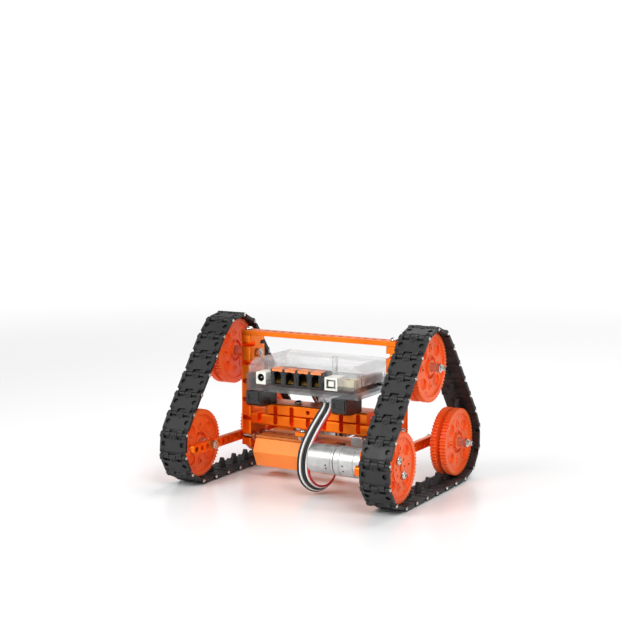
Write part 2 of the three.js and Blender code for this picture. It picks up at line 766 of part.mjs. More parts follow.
// The cover as a solid whose upper edges slope in. A shrink above 0 gives the hollow inside it.
function coverShell(shrink) {
  const foot = caseHalf - shrink;
  const slope = 0.8 * coverChamfer;
  const low = coverBottom - (shrink ? 1 : 0);
  const steps = [[0, low], [0, caseTop - coverChamfer], [slope, caseTop - shrink]];
  const corners = [];
  for (const [inset, z] of steps) {
    const [x, y0, y1] = [foot - inset, caseFront + shrink + inset, caseBack - shrink - inset];
    corners.push([-x, y0, z], [x, y0, z], [x, y1, z], [-x, y1, z]);
  }
  const faces = [[0, 3, 2, 1], [8, 9, 10, 11]];
  for (const base of [0, 4]) {
    for (let k = 0; k < 4; k += 1) {
      const n = (k + 1) % 4;
      faces.push([base + k, base + n, base + 4 + n, base + 4 + k]);
    }
  }
  const geometry = new THREE.BufferGeometry();
  geometry.setAttribute('position', new THREE.Float32BufferAttribute(corners.flat(), 3));
  geometry.setIndex(faces.flatMap(([a, b, c, d]) => [a, b, c, a, c, d]));
  return solid(geometry);
}

function cover() {
  const buttonHole = barZ(buttonRadius + gap, caseTop - 2 * caseWall, caseTop + 1, ...buttonAt, 12);
  return cutAll(coverShell(0).subtract(coverShell(caseWall)), [
    ...frontNotches(coverBottom - 1, caseTop), buttonHole,
  ]);
}

// The circuit board with the larger parts that are soldered to it.
function board() {
  const half = caseHalf - boardInset;
  const plate = block([-half, caseFront + boardInset, boardBottom], [half, caseBack - boardInset, boardTop]);
  const top = boardTop - 0.2;
  const chips = boardParts.map(([low, high, tall]) => block([...low, top], [...high, boardTop + tall]));
  const round = barZ(canSize[0], top, boardTop + canSize[1], ...canAt, 12);
  const button = barZ(buttonSwitch[0], top, boardTop + buttonSwitch[1], ...buttonAt, 12);
  return joinAll([plate, ...chips, round, button, powerJack()]);
}

function portBlock() {
  const low = boardTop + gap;
  const row = portCount * portPitch / 2;
  const back = socketFront + portDeep;
  const body = block([portMid - row, socketFront, low], [portMid + row, back, low + portHigh]);
  const pockets = [];
  for (let k = 0; k < portCount; k += 1) {
    const x = portMid + (k - (portCount - 1) / 2) * portPitch;
    const [w, h] = portOpening;
    const [end, floor] = [socketFront + portPocket, low + portFloor];
    pockets.push(block([x - w / 2, socketFront - 1, floor], [x + w / 2, end, floor + h]));
  }
  return cutAll(body, pockets);
}

function usbSocket() {
  const [w, d, h] = usbSize;
  const low = boardTop + gap;
  const half = w / 2;
  const body = block([usbMid - half, socketFront, low], [usbMid + half, socketFront + d, low + h]);
  return body.subtract(block(
    [usbMid - half + usbWall, socketFront - 1, low + usbWall],
    [usbMid + half - usbWall, socketFront + usbPocket, low + h - usbWall],
  ));
}

// The supply socket, soldered to the board.
function powerJack() {
  const [w, d, h] = jackSize;
  const low = boardTop - 0.2;
  const body = block([jackMid - w / 2, socketFront, low], [jackMid + w / 2, socketFront + d, low + h]);
  const hole = barY(jackHole, socketFront - 1, socketFront + usbPocket, jackMid, low + h / 2 + 2 * gap, 12);
  return body.subtract(hole);
}

// Slides along Y in a slot of the tray's right wall.
function powerSwitch() {
  const low = boardTop + 2 * gap + 0.2;
  const inside = caseHalf - caseWall - gap;
  const high = low + switchHigh;
  return joinAll([
    block([inside - 2.3, switchMid - switchPad, low], [inside, switchMid + switchPad, high]),
    block([inside - 1, switchMid - switchKnob, low], [caseHalf + knobProud, switchMid + switchKnob, high]),
  ]);
}

// A push button that stands in the cover's round hole and rests over the switch on the board.
function resetButton() {
  const low = boardTop + buttonSwitch[1] + buttonTravel + gap;
  return barZ(buttonRadius, low, caseTop + buttonTravel, ...buttonAt, 12);
}

// A black block under the case that stands on the upper cross beam and overhangs its front.
function foot(x) {
  const back = caseFront - 1 + footDeep;
  const [low, high] = [crossUpperTop + gap, caseBottom - gap];
  const outline = [
    [caseFront - 1, low + 3], [caseFront + 2, low + 1], [caseFront + 8, low], [back, low], [back, high],
    [caseFront - 1, high],
  ];
  return extrudeX(outline, x - footWide / 2, x + footWide / 2);
}

// --- Ribbon cables -------------------------------------------------------------------------------

const frontRoute = [
  [21, -30, 74.7], [21, -30.2, 71.5], [19.4, -31.6, 67], [17.2, -35.4, 61], [15.8, -41.5, 54.5],
  [14.8, -48, 47.5], [13.9, -53.2, 40], [13.4, -55.8, 32.5], [13.2, -56.4, 25.6], [13.6, -56, 18.8],
  [15.2, -53.6, 12.2], [18.2, -48.4, 6.8], [21.4, -41.4, 4.9], [24.6, -34.8, 6.8], [27.4, -31.4, 11.8],
  [29.6, -30.6, 17.8], [30.8, -30.8, 23.4], [31, -31, 28], [31, -31, 31.2], [31, -31, 32.7],
];
const backRoute = [
  [-21, 24.5, 74.7], [-21, 24.8, 71.5], [-20.2, 26.4, 66.4], [-18.4, 30.4, 60.2], [-16.6, 37.2, 54],
  [-15.2, 45.2, 47.4], [-14, 51.8, 40], [-13.4, 55.6, 32.5], [-13.2, 56.4, 25.6], [-13.6, 56, 18.8],
  [-15.2, 53.6, 12.2], [-18.2, 48.4, 6.8], [-21.4, 41.4, 4.9], [-24.6, 34.8, 6.8], [-27.4, 31.4, 11.8],
  [-29.6, 30.6, 17.8], [-30.8, 30.8, 23.4], [-31, 31, 28], [-31, 31, 31.2], [-31, 31, 32.7],
];

// An eight-sided flat section drawn along the cable's route.
function ribbon(route) {
  const path = new THREE.CatmullRomCurve3(route.map((point) => new THREE.Vector3(...point)));
  const [w, t, bevel] = [ribbonWide / 2, ribbonThick / 2, 0.5];
  const frames = path.computeFrenetFrames(ribbonSteps, false);
  const acrossX = Math.abs(frames.normals[0].x) > Math.abs(frames.binormals[0].x);
  const [a, b] = acrossX ? [w, t] : [t, w];
  const section = new THREE.Shape([
    [-a + bevel, -b], [a - bevel, -b], [a, -b + bevel], [a, b - bevel],
    [a - bevel, b], [-a + bevel, b], [-a, b - bevel], [-a, -b + bevel],
  ].map(([p, q]) => new THREE.Vector2(p, q)));
  return solid(new THREE.ExtrudeGeometry(section, {
    steps: ribbonSteps, extrudePath: path, bevelEnabled: false,
  }));
}

// --- Assembly ------------------------------------------------------------------------------------

const sides = [['right', 1], ['left', -1]];

for (const [name, side] of sides) {
  addPiece(`upright_${name}`, upright(side), anodised);
  addPiece(`side_rail_${name}`, sideRail(side), anodised);
  addPiece(`rail_screw_${name}_front`, railScrew(side, -grid), steel);
  addPiece(`rail_screw_${name}_back`, railScrew(side, grid), steel);
  addPiece(`upright_screw_${name}`, uprightScrew(side), steel);
  addPiece(`top_bar_screw_${name}`, topBarScrew(side), steel);
  addPiece(`stack_bolt_${name}`, stackBolt(side * stackBolts[1]), steel);
  addPiece(`track_${name}`, track(side * trackMid, side > 0 ? rightPhase : leftPhase), trackPlastic);
}
addPiece('cross_beam_lower', lowerCrossBeam(), anodised);
addPiece('cross_beam_upper', crossBeam(crossUpperLength, crossUpperBottom, -1, -grid), anodised);
addPiece('top_bar', topBar(), anodised);
addPiece('hanger_tab', hangerTab(), anodised);
addPiece('hanger_bolt', hangerBolt(), steel);
addPiece('hanger_angle', hangerAngle(), anodised);

const wheelNames = ['top', 'front', 'back'];
for (const [name, side] of sides) {
  wheelCentres.forEach(([y, z], i) => {
    const label = `${name}_${wheelNames[i]}`;
    const driven = y * side < 0; // the right front and left back wheels
    addPiece(`wheel_inner_${label}`, wheelDisc(side, -1, y, z, driven), wheelPlastic);
    addPiece(`wheel_outer_${label}`, wheelDisc(side, 1, y, z, driven), wheelPlastic);
    if (driven) addPiece(`drive_hub_${name}`, driveHub(side, y, z), steel);
    else addPiece(`axle_${label}`, idlerAxle(side, y, z, y === 0), steel);
  });
}

for (const [name, turn] of [['right', (shape) => shape], ['left', halfTurn]]) {
  addPiece(`motor_can_${name}`, turn(motorCan()), motorSteel);
  addPiece(`gearbox_${name}`, turn(gearbox()), motorSteel);
  addPiece(`motor_bracket_${name}`, turn(motorBracket()), anodised);
}

addPiece('battery_case', batteryCase(), batteryPaint);
addPiece('battery_lid', batteryLid(), batteryPaint);
addPiece('battery_cells', batteryCells(), cellWrap);

addPiece('controller_tray', tray(), clearPlastic);
addPiece('controller_cover', cover(), clearPlastic);
addPiece('controller_board', board(), boardGreen);
addPiece('port_block', portBlock(), portBlack);
addPiece('usb_socket', usbSocket(), portWhite);
addPiece('power_switch', powerSwitch(), portBlack);
addPiece('reset_button', resetButton(), portWhite);
addPiece('foot_left', foot(footMid[0]), blackRubber);
addPiece('foot_right', foot(footMid[1]), blackRubber);

addPiece('ribbon_cable_front', ribbon(frontRoute), ribbonSkin);
addPiece('ribbon_cable_back', ribbon(backRoute), ribbonSkin);

export default robot;
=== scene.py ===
# A small coding robot on two triangular tracks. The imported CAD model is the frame;
# this script builds the finished surfaces round it. Sizes are in mm unless a name says otherwise.
import json
import math

import bmesh
import bpy
from mathutils import Matrix, Vector
from mathutils.geometry import tessellate_polygon

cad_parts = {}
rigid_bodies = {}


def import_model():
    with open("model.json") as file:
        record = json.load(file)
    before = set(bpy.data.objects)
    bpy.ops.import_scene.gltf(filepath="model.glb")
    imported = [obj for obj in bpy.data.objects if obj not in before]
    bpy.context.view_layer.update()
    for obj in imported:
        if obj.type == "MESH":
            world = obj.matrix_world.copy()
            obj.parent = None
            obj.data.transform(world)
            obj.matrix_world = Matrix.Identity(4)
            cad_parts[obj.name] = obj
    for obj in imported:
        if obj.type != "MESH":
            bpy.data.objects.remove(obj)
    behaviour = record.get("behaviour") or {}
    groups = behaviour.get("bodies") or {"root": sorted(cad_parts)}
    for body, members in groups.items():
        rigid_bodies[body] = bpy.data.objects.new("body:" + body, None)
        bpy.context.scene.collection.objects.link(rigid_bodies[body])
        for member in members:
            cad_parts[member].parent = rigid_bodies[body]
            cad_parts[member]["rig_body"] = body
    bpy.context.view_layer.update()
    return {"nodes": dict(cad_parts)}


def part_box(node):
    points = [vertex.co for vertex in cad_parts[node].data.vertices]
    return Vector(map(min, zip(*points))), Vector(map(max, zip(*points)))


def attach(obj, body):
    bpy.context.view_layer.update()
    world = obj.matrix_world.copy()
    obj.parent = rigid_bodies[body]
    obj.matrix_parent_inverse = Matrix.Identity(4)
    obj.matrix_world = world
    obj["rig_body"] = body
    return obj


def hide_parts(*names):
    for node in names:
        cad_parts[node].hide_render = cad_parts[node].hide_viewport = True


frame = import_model()
mm = 0.001
nodes = frame["nodes"]
sides = {"right": 1, "left": -1}
wheelSpots = {"top": (0, 106), "front": (-56, 34), "back": (56, 34)}  # Y and Z of each axle
axleHeight = wheelSpots["front"][1]
topAxle = wheelSpots["top"][1]
drivenSpot = {"right": "front", "left": "back"}


cameraFacts = {"place": (0.5824, -1.0384, 0.2914), "turnDegrees": (83.05, 0, 29.8), "lens": 82.6}


def makeCamera():
    data = bpy.data.cameras.new("camera")
    data.lens = cameraFacts["lens"]
    data.clip_end = 50
    camera = bpy.data.objects.new("camera", data)
    camera.location = cameraFacts["place"]
    camera.rotation_euler = [math.radians(a) for a in cameraFacts["turnDegrees"]]
    bpy.context.collection.objects.link(camera)
    bpy.context.scene.camera = camera


makeCamera()


def fromHex(text):
    # sRGB hex to the linear colour that shaders use
    parts = [int(text[i:i + 2], 16) / 255 for i in (1, 3, 5)]
    return (*[c / 12.92 if c <= 0.04045 else ((c + 0.055) / 1.055) ** 2.4 for c in parts], 1)


def addNode(tree, kind, settings=None, links=None):
    node = tree.nodes.new(kind)
    for name, value in (settings or {}).items():
        if name == "stops":
            for stop, (place, colour) in zip(node.color_ramp.elements, value):
                stop.position, stop.color = place, colour
        elif isinstance(name, int) or name in node.inputs:
            node.inputs[name].default_value = value
        else:
            setattr(node, name, value)
    for name, source in (links or {}).items():
        tree.links.new(source, node.inputs[name])
    return node


def startMaterial(name, look):
    # look: colours (two hex values), cloudMm, grainMm, roughness (low, high), bumpMm, shader (plain sockets)
    material = bpy.data.materials.new(name)
    material.use_nodes = True
    tree = material.node_tree
    tree.nodes.clear()
    shader = addNode(tree, "ShaderNodeBsdfPrincipled", look["shader"])
    addNode(tree, "ShaderNodeOutputMaterial", links={"Surface": shader.outputs[0]})
    spot = addNode(tree, "ShaderNodeTexCoord").outputs["Object"]
    cloud = addNode(tree, "ShaderNodeTexNoise", {"Scale": 1000 / look["cloudMm"], "Detail": 4},
                    {"Vector": spot})
    dark, light = [fromHex(c) for c in look["colours"]]
    ramp = addNode(tree, "ShaderNodeValToRGB", {"stops": [(0.32, dark), (0.68, light)]},
                   {"Fac": cloud.outputs[0]})
    tree.links.new(ramp.outputs[0], shader.inputs["Base Color"])
    grain = addNode(tree, "ShaderNodeTexNoise", {"Scale": 1000 / look["grainMm"], "Detail": 3},
                    {"Vector": spot})
    low, high = look["roughness"]
    rough = addNode(tree, "ShaderNodeMapRange",
                    {"From Min": 0.3, "From Max": 0.7, "To Min": low, "To Max": high},
                    {"Value": cloud.outputs[0]})
    tree.links.new(rough.outputs[0], shader.inputs["Roughness"])
    bump = addNode(tree, "ShaderNodeBump", {"Strength": 1, "Distance": look["bumpMm"] * mm},
                   {"Height": grain.outputs[0]})
    tree.links.new(bump.outputs[0], shader.inputs["Normal"])
    return {"material": material, "tree": tree, "shader": shader, "spot": spot, "ramp": ramp, "bump": bump}


def anodisedAluminium(name, colours):
    # Extruded aluminium, blasted and dyed orange: satin, with a soft sheen along the length.
    return startMaterial(name, {
        "colours": colours, "cloudMm": 22, "grainMm": 0.6, "roughness": (0.3, 0.4),
        "bumpMm": 0.012,  # the real grit is 0.1 mm and too fine to show
        "shader": {"Metallic": 0.88, "Coat Weight": 0.12, "Coat Roughness": 0.3}})["material"]


def absPlastic(name, colours, roughness=(0.4, 0.52), bumpMm=0.01):
    # Moulded ABS: even colour, a broad highlight, and the faint orange peel of the tool.
    return startMaterial(name, {
        "colours": colours, "cloudMm": 14, "grainMm": 0.9, "roughness": roughness, "bumpMm": bumpMm,
        "shader": {"IOR": 1.54}})["material"]


def nylonTrack(name):
    # Moulded black nylon: dark grey in light, dull, with scuffs on the tread that are a little paler.
    made = startMaterial(name, {
        "colours": ("#101011", "#19191a"), "cloudMm": 9, "grainMm": 0.7, "roughness": (0.48, 0.66),
        "bumpMm": 0.03, "shader": {"IOR": 1.53}})
    tree = made["tree"]
    scuff = addNode(tree, "ShaderNodeTexNoise", {"Scale": 1000 / 2.2, "Detail": 6, "Roughness": 0.75},
                    {"Vector": made["spot"]})
    mask = addNode(tree, "ShaderNodeValToRGB", {"stops": [(0.58, (0, 0, 0, 1)), (0.72, (1, 1, 1, 1))]},
                   {"Fac": scuff.outputs[0]})
    pale = addNode(tree, "ShaderNodeMix", {"data_type": "RGBA", 7: fromHex("#343436")},
                   {0: mask.outputs[0], 6: made["ramp"].outputs[0]})
    tree.links.new(pale.outputs[2], made["shader"].inputs["Base Color"])
    return made["material"]


def platedSteel(name, colours, roughness=(0.2, 0.32), bumpMm=0.006):
    # Zinc-plated steel: bright grey, slightly cloudy from the bath.
    return startMaterial(name, {
        "colours": colours, "cloudMm": 3.5, "grainMm": 0.5, "roughness": roughness, "bumpMm": bumpMm,
        "shader": {"Metallic": 1.0}})["material"]


def turnedSteel(name, colours):
    # Drawn and plated steel can: fine rings run round it, 0.25 mm apart, drawn at 0.5 mm to show.
    made = startMaterial(name, {
        "colours": colours, "cloudMm": 8, "grainMm": 0.5, "roughness": (0.38, 0.5), "bumpMm": 0.006,
        "shader": {"Metallic": 0.95}})
    tree = made["tree"]
    split = addNode(tree, "ShaderNodeSeparateXYZ", links={"Vector": made["spot"]})
    line = addNode(tree, "ShaderNodeCombineXYZ", links={"X": split.outputs["X"]})
    rings = addNode(tree, "ShaderNodeTexNoise", {"Scale": 1000 / 0.5, "Detail": 2},
                    {"Vector": line.outputs[0]})
    tree.links.new(rings.outputs[0], made["bump"].inputs["Height"])
    return made["material"]


def powderCoat(name, colours):
    # Sheet aluminium with a matt powder coat: soft orange peel and almost no mirror.
    return startMaterial(name, {
        "colours": colours, "cloudMm": 30, "grainMm": 0.8, "roughness": (0.5, 0.6), "bumpMm": 0.025,
        "shader": {"Metallic": 0.1, "IOR": 1.5}})["material"]


def clearPolycarbonate(name, colours, alpha, roughness):
    # Moulded clear polycarbonate: see-through, with grey edges where it is seen side on.
    made = startMaterial(name, {
        "colours": colours, "cloudMm": 12, "grainMm": 1.2, "roughness": roughness, "bumpMm": 0.01,
        "shader": {"IOR": 1.585, "Alpha": alpha, "Transmission Weight": 0.92}})
    made["material"].surface_render_method = "BLENDED"
    return made["material"]


def circuitBoard(name):
    # Fibreglass under a dark solder mask: glossy, with copper tracks that show as fine raised lines.
    made = startMaterial(name, {
        "colours": ("#3a0f10", "#541a18"), "cloudMm": 6, "grainMm": 0.8, "roughness": (0.25, 0.4),
        "bumpMm": 0.01, "shader": {"IOR": 1.5, "Coat Weight": 0.3}})
    tree = made["tree"]
    tracks = addNode(tree, "ShaderNodeTexBrick",
                     {"Scale": 1000 / 6, "Color1": (0.1, 0.1, 0.1, 1), "Color2": (0.4, 0.4, 0.4, 1),
                      "Mortar": (1, 1, 1, 1), "Mortar Size": 0.03}, {"Vector": made["spot"]})
    shine = addNode(tree, "ShaderNodeMix", {"data_type": "RGBA", 7: fromHex("#7a3a26")},
                    {0: tracks.outputs["Color"], 6: made["ramp"].outputs[0]})
    tree.links.new(shine.outputs[2], made["shader"].inputs["Base Color"])
    tree.links.new(tracks.outputs["Color"], made["bump"].inputs["Height"])
    return made["material"]


def wireSkin(name, colours):
    # Soft PVC insulation: smooth, with a satin line of light along each core.
    return startMaterial(name, {
        "colours": colours, "cloudMm": 10, "grainMm": 0.8, "roughness": (0.34, 0.46), "bumpMm": 0.008,
        "shader": {"IOR": 1.52}})["material"]


orangeMetal = anodisedAluminium("anodised_orange", ("#ee6c08", "#fb7d10"))
orangePlastic = absPlastic("abs_orange", ("#fb5f1c", "#ff6c26"))
blackNylon = nylonTrack("nylon_black")
zincSteel = platedSteel("steel_zinc", ("#b9b7b2", "#dedcd6"))
sleeveSteel = platedSteel("steel_sleeve", ("#d2c4bb", "#e2d8d0"), (0.28, 0.4))
canSteel = turnedSteel("steel_motor", ("#b4b4b2", "#cccccb"))
batteryCoat = powderCoat("powder_orange", ("#ff8a34", "#ff9440"))
# the lid has the case's orange powder coat; these darker, browner tones are painted shade for a face seen
# side on
lidCoatPaintedShade = powderCoat("powder_orange_painted_shade", ("#c9702c", "#d8803a"))
clearCover = clearPolycarbonate("polycarbonate_clear", ("#eef2f4", "#fafcfd"), 0.17, (0.02, 0.06))
clearRib = clearPolycarbonate("polycarbonate_rib", ("#eef2f4", "#fafcfd"), 0.62, (0.05, 0.12))
greyTray = clearPolycarbonate("polycarbonate_smoke", ("#5c6266", "#7b8287"), 0.5, (0.05, 0.14))
boardMask = circuitBoard("solder_mask")
blackGloss = absPlastic("abs_black", ("#08080a", "#111113"), (0.22, 0.34), 0.006)
blackFoot = absPlastic("abs_black_foot", ("#0e0f10", "#17181a"), (0.2, 0.32), 0.02)
whitePlastic = absPlastic("abs_white", ("#d9dcd0", "#e8eae0"), (0.35, 0.45))
brownPlastic = absPlastic("pbt_brown", ("#4a1f18", "#5e2a20"))
creamPlastic = absPlastic("nylon_cream", ("#d8ceb2", "#e6ddc6"), (0.4, 0.5))
labelOrange = absPlastic("label_orange", ("#ef7d3c", "#f58f52"), (0.5, 0.6))
gold = platedSteel("gold_contact", ("#d8a544", "#e6b95c"))
# black epoxy of the chips; the same material also paints shade into the motor's vent slots and the battery
# lid's slots
blackEpoxyAndSlotShade = absPlastic("epoxy_black_and_slot_shade", ("#141416", "#1e1e20"), (0.5, 0.62))
cellBlue = wireSkin("cell_wrap", ("#2364a8", "#2d72ba"))
wireColours = {
    "black": wireSkin("pvc_black", ("#0e0e10", "#18181a")),
    "white": wireSkin("pvc_white", ("#e2e0dc", "#efeeea")),
    "grey": wireSkin("pvc_grey", ("#2a2a2c", "#343436")),
    "red": wireSkin("pvc_red", ("#a80f1e", "#c01a28")),
}
print("materials made")


# A shape is (points, faces), in mm.
def circle(radius, count, at=(0, 0)):
    steps = [2 * math.pi * i / count for i in range(count)]
    return [(at[0] + radius * math.cos(a), at[1] + radius * math.sin(a)) for a in steps]


def rectangle(low, high):
    return [(low[0], low[1]), (high[0], low[1]), (high[0], high[1]), (low[0], high[1])]


def roundRectangle(low, high, radius, steps=5):
    points = []
    corners = [(high[0] - radius, high[1] - radius, 0), (low[0] + radius, high[1] - radius, 90),
               (low[0] + radius, low[1] + radius, 180), (high[0] - radius, low[1] + radius, 270)]
    for x, y, start in corners:
        for i in range(steps + 1):
            a = math.radians(start + 90 * i / steps)
            points.append((x + radius * math.cos(a), y + radius * math.sin(a)))
    return points


def prism(outline, low, high, holes=()):
    loops = [list(outline), *[list(h) for h in holes]]
    flat = [p for loop in loops for p in loop]
    count = len(flat)
    caps = tessellate_polygon([[Vector((x, y, 0)) for x, y in loop] for loop in loops])
    points = [(x, y, low) for x, y in flat] + [(x, y, high) for x, y in flat]
    faces = [tuple(t) for t in caps] + [tuple(i + count for i in reversed(t)) for t in caps]
    start = 0
    for loop in loops:
        for i in range(len(loop)):
            a, b = start + i, start + (i + 1) % len(loop)
            faces.append((a, b, b + count, a + count))
        start += len(loop)
    return points, faces


def skin(loops, closed=False):
    # joins loops of the same count; a closed skin is a ring, an open one has flat ends
    count = len(loops[0])
    points = [p for loop in loops for p in loop]
    faces = []
    for k in range(len(loops) if closed else len(loops) - 1):
        a, b = k * count, ((k + 1) % len(loops)) * count
        for i in range(count):
            n = (i + 1) % count
            faces.append((a + i, a + n, b + n, b + i))
    if not closed:
        faces += [tuple(reversed(range(count))), tuple(range(len(points) - count, len(points)))]
    return points, faces


def turned(profile, count=32, closed=False):
    # profile points are (radius, z)
    return skin([[(x, y, z) for x, y in circle(r, count)] for r, z in profile], closed)


def box(low, high):
    return prism(rectangle(low[:2], high[:2]), low[2], high[2])


def joined(shapes):
    points, faces = [], []
    for p, f in shapes:
        faces += [tuple(i + len(points) for i in face) for face in f]
        points += p
    return points, faces


def moved(shape, matrix):
    return [tuple(matrix @ Vector(p)) for p in shape[0]], shape[1]


def facing(side, at=(0, 0, 0)):
    # local z becomes the outward X direction of that side
    return Matrix.Translation(at) @ Matrix(((0, 0, side, 0), (side, 0, 0, 0), (0, 1, 0, 0), (0, 0, 0, 1)))


def sideways(at=(0, 0, 0)):
    # local z becomes -Y, the front; local y stays up
    return Matrix.Translation(at) @ Matrix(((1, 0, 0, 0), (0, 0, -1, 0), (0, 1, 0, 0), (0, 0, 0, 1)))


def toMesh(name, shape):
    mesh = bpy.data.meshes.new(name)
    mesh.from_pydata([tuple(c * mm for c in p) for p in shape[0]], [], shape[1])
    work = bmesh.new()
    work.from_mesh(mesh)
    bmesh.ops.recalc_face_normals(work, faces=work.faces)
    work.to_mesh(mesh)
    work.free()
    return mesh


def build(name, shape, material, edge=0.25, stands=(), angle=32, body="chassis"):
    mesh = toMesh(name, shape)
    mesh.shade_smooth()
    piece = bpy.data.objects.new(name, mesh)
    bpy.context.collection.objects.link(piece)
    mesh.materials.append(material)
    if edge:
        bevel = piece.modifiers.new("edge", "BEVEL")
        bevel.width, bevel.segments = edge * mm, 2
        bevel.limit_method, bevel.angle_limit = "ANGLE", math.radians(angle)
        bevel.harden_normals = True
    else:
        mesh.set_sharp_from_angle(angle=math.radians(angle))
    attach(piece, body)
    if stands:
        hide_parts(*stands)
    return piece


def carve(shape, cutters):
    # takes the cutters away from the shape
    collection = bpy.context.scene.collection
    pair = [bpy.data.objects.new(n, toMesh(n, s)) for n, s in (("base", shape), ("tool", joined(cutters)))]
    for item in pair:
        collection.objects.link(item)
    cut = pair[0].modifiers.new("cut", "BOOLEAN")
    cut.operation, cut.object, cut.solver, cut.use_self = "DIFFERENCE", pair[1], "EXACT", True
    bpy.context.view_layer.update()
    result = pair[0].evaluated_get(bpy.context.evaluated_depsgraph_get()).to_mesh()
    points = [tuple(c / mm for c in v.co) for v in result.vertices]
    faces = [tuple(f.vertices) for f in result.polygons]
    for item in pair:
        bpy.data.objects.remove(item)
    return points, faces


def refined(node, material, edge):
    # the CAD node's own shape, with its edges eased
    source = nodes[node].data
    work = bmesh.new()
    work.from_mesh(source)
    bmesh.ops.remove_doubles(work, verts=work.verts, dist=2e-6)
    bmesh.ops.dissolve_limit(work, angle_limit=math.radians(1), verts=work.verts, edges=work.edges)
    points = [tuple(c / mm for c in v.co) for v in work.verts]
    faces = [tuple(v.index for v in f.verts) for f in work.faces]
    work.free()
    return build(f"{node}_shape", (points, faces), material, edge, [node],
                 body=nodes[node]["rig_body"])


ribbonFacts = {
    "cores": ["black", "white", "grey", "black", "white", "red"],  # from -X to +X at the case
    "coreRadius": 0.92, "corePitch": 1.88, "samplesPerPoint": 6,
    "front": [
        (21, -30, 74.7), (21, -30.2, 71.5), (19.4, -31.6, 67), (17.2, -35.4, 61), (15.8, -41.5, 54.5),
        (14.8, -48, 47.5), (13.9, -53.2, 40), (13.4, -55.8, 32.5), (13.2, -56.4, 25.6), (13.6, -56, 18.8),
        (15.2, -53.6, 12.2), (18.2, -48.4, 6.8), (21.4, -41.4, 4.9), (24.6, -34.8, 6.8), (27.4, -31.4, 11.8),
        (29.6, -30.6, 17.8), (30.8, -30.8, 23.4), (31, -31, 28), (31, -31, 31.2), (31, -31, 32.7)],
    "back": [
        (-21, 24.5, 74.7), (-21, 24.8, 71.5), (-20.2, 26.4, 66.4), (-18.4, 30.4, 60.2), (-16.6, 37.2, 54),
        (-15.2, 45.2, 47.4), (-14, 51.8, 40), (-13.4, 55.6, 32.5), (-13.2, 56.4, 25.6), (-13.6, 56, 18.8),
        (-15.2, 53.6, 12.2), (-18.2, 48.4, 6.8), (-21.4, 41.4, 4.9), (-24.6, 34.8, 6.8), (-27.4, 31.4, 11.8),
        (-29.6, 30.6, 17.8), (-30.8, 30.8, 23.4), (-31, 31, 28), (-31, 31, 31.2), (-31, 31, 32.7)],
}


def smoothPath(points, samples):
    # a Catmull-Rom line through the points
    knots = [Vector(p) for p in points]
    knots = [2 * knots[0] - knots[1], *knots, 2 * knots[-1] - knots[-2]]
    path = []
    for a, b, c, d in zip(knots, knots[1:], knots[2:], knots[3:]):
        for i in range(samples):
            t = i / samples
            path.append(0.5 * (2 * b + (c - a) * t + (2 * a - 5 * b + 4 * c - d) * t * t
                               + (3 * b - 3 * c + d - a) * t ** 3))
    return [*path, knots[-2]]


def acrossPath(path, first):
    # the ribbon's width direction at each sample, carried along without twist
    wide = [Vector(first)]
    for before, here, after in zip([path[0], *path], path, [*path[1:], path[-1]]):
        way = (after - before).normalized()
        turnedTo = (wide[-1] - way * wide[-1].dot(way)).normalized()
        wide.append(turnedTo)
    return wide[1:]


def makeRibbon(which):
    path = smoothPath(ribbonFacts[which], ribbonFacts["samplesPerPoint"])
    wide = acrossPath(path, (1, 0, 0))
    cores = ribbonFacts["cores"]
    mesh = bpy.data.meshes.new(f"ribbon_{which}")
    points, faces, paints = [], [], []
    ends = zip([path[0], *path], [*path[1:], path[-1]])
    ways = [(after - before).normalized() for before, after in ends]
    for k in range(len(cores)):
        shift = (k - (len(cores) - 1) / 2) * ribbonFacts["corePitch"]
        loops = []
        for spot, way, side in zip(path, ways, wide):
            up = way.cross(side)
            middle = spot + side * shift
            section = circle(ribbonFacts["coreRadius"], 10)
            loops.append([tuple(middle + side * x + up * y) for x, y in section])
        p, f = skin(loops)
        faces += [tuple(i + len(points) for i in face) for face in f]
        points += p
        paints += [k] * len(f)
    mesh.from_pydata([tuple(c * mm for c in p) for p in points], [], faces)
    for colour in cores:
        mesh.materials.append(wireColours[colour])
    mesh.polygons.foreach_set("material_index", paints)
    mesh.shade_smooth()
    piece = bpy.data.objects.new(f"ribbon_{which}", mesh)
    bpy.context.collection.objects.link(piece)
    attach(piece, "chassis")
    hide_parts(f"ribbon_cable_{which}")


for which in ("front", "back"):
    makeRibbon(which)


trackFacts = {
    "middle": 94, "wide": 26, "links": 26, "pinLine": 31.5, "phase": {"right": 0, "left": 0.78},
    "knuckle": 2.06, "crest": [(0.95, 1.2), (1.0, 2.5), (2.7, 2.5), (3.6, 1.5), (3.6, 1.2)],
    "below": 1.0, "above": 1.7,
    "startKnuckles": [(-13, -9.4), (-3.3, 3.3), (9.4, 13)], "endKnuckles": [(-9.0, -3.7), (3.7, 9.0)],
    "notch": 4.1, "hole": 2.2, "holeAt": (8.4, 9.2), "ring": (2.25, 1.55, 0.7), "pinEnd": 1.45,
    "horn": [(4.5, 0), (3.2, 2.4), (3.9, 2.5), (2.4, 4.8), (3.1, 4.9), (1.5, 7.2), (2.1, 7.3), (0.8, 9.0)],
}


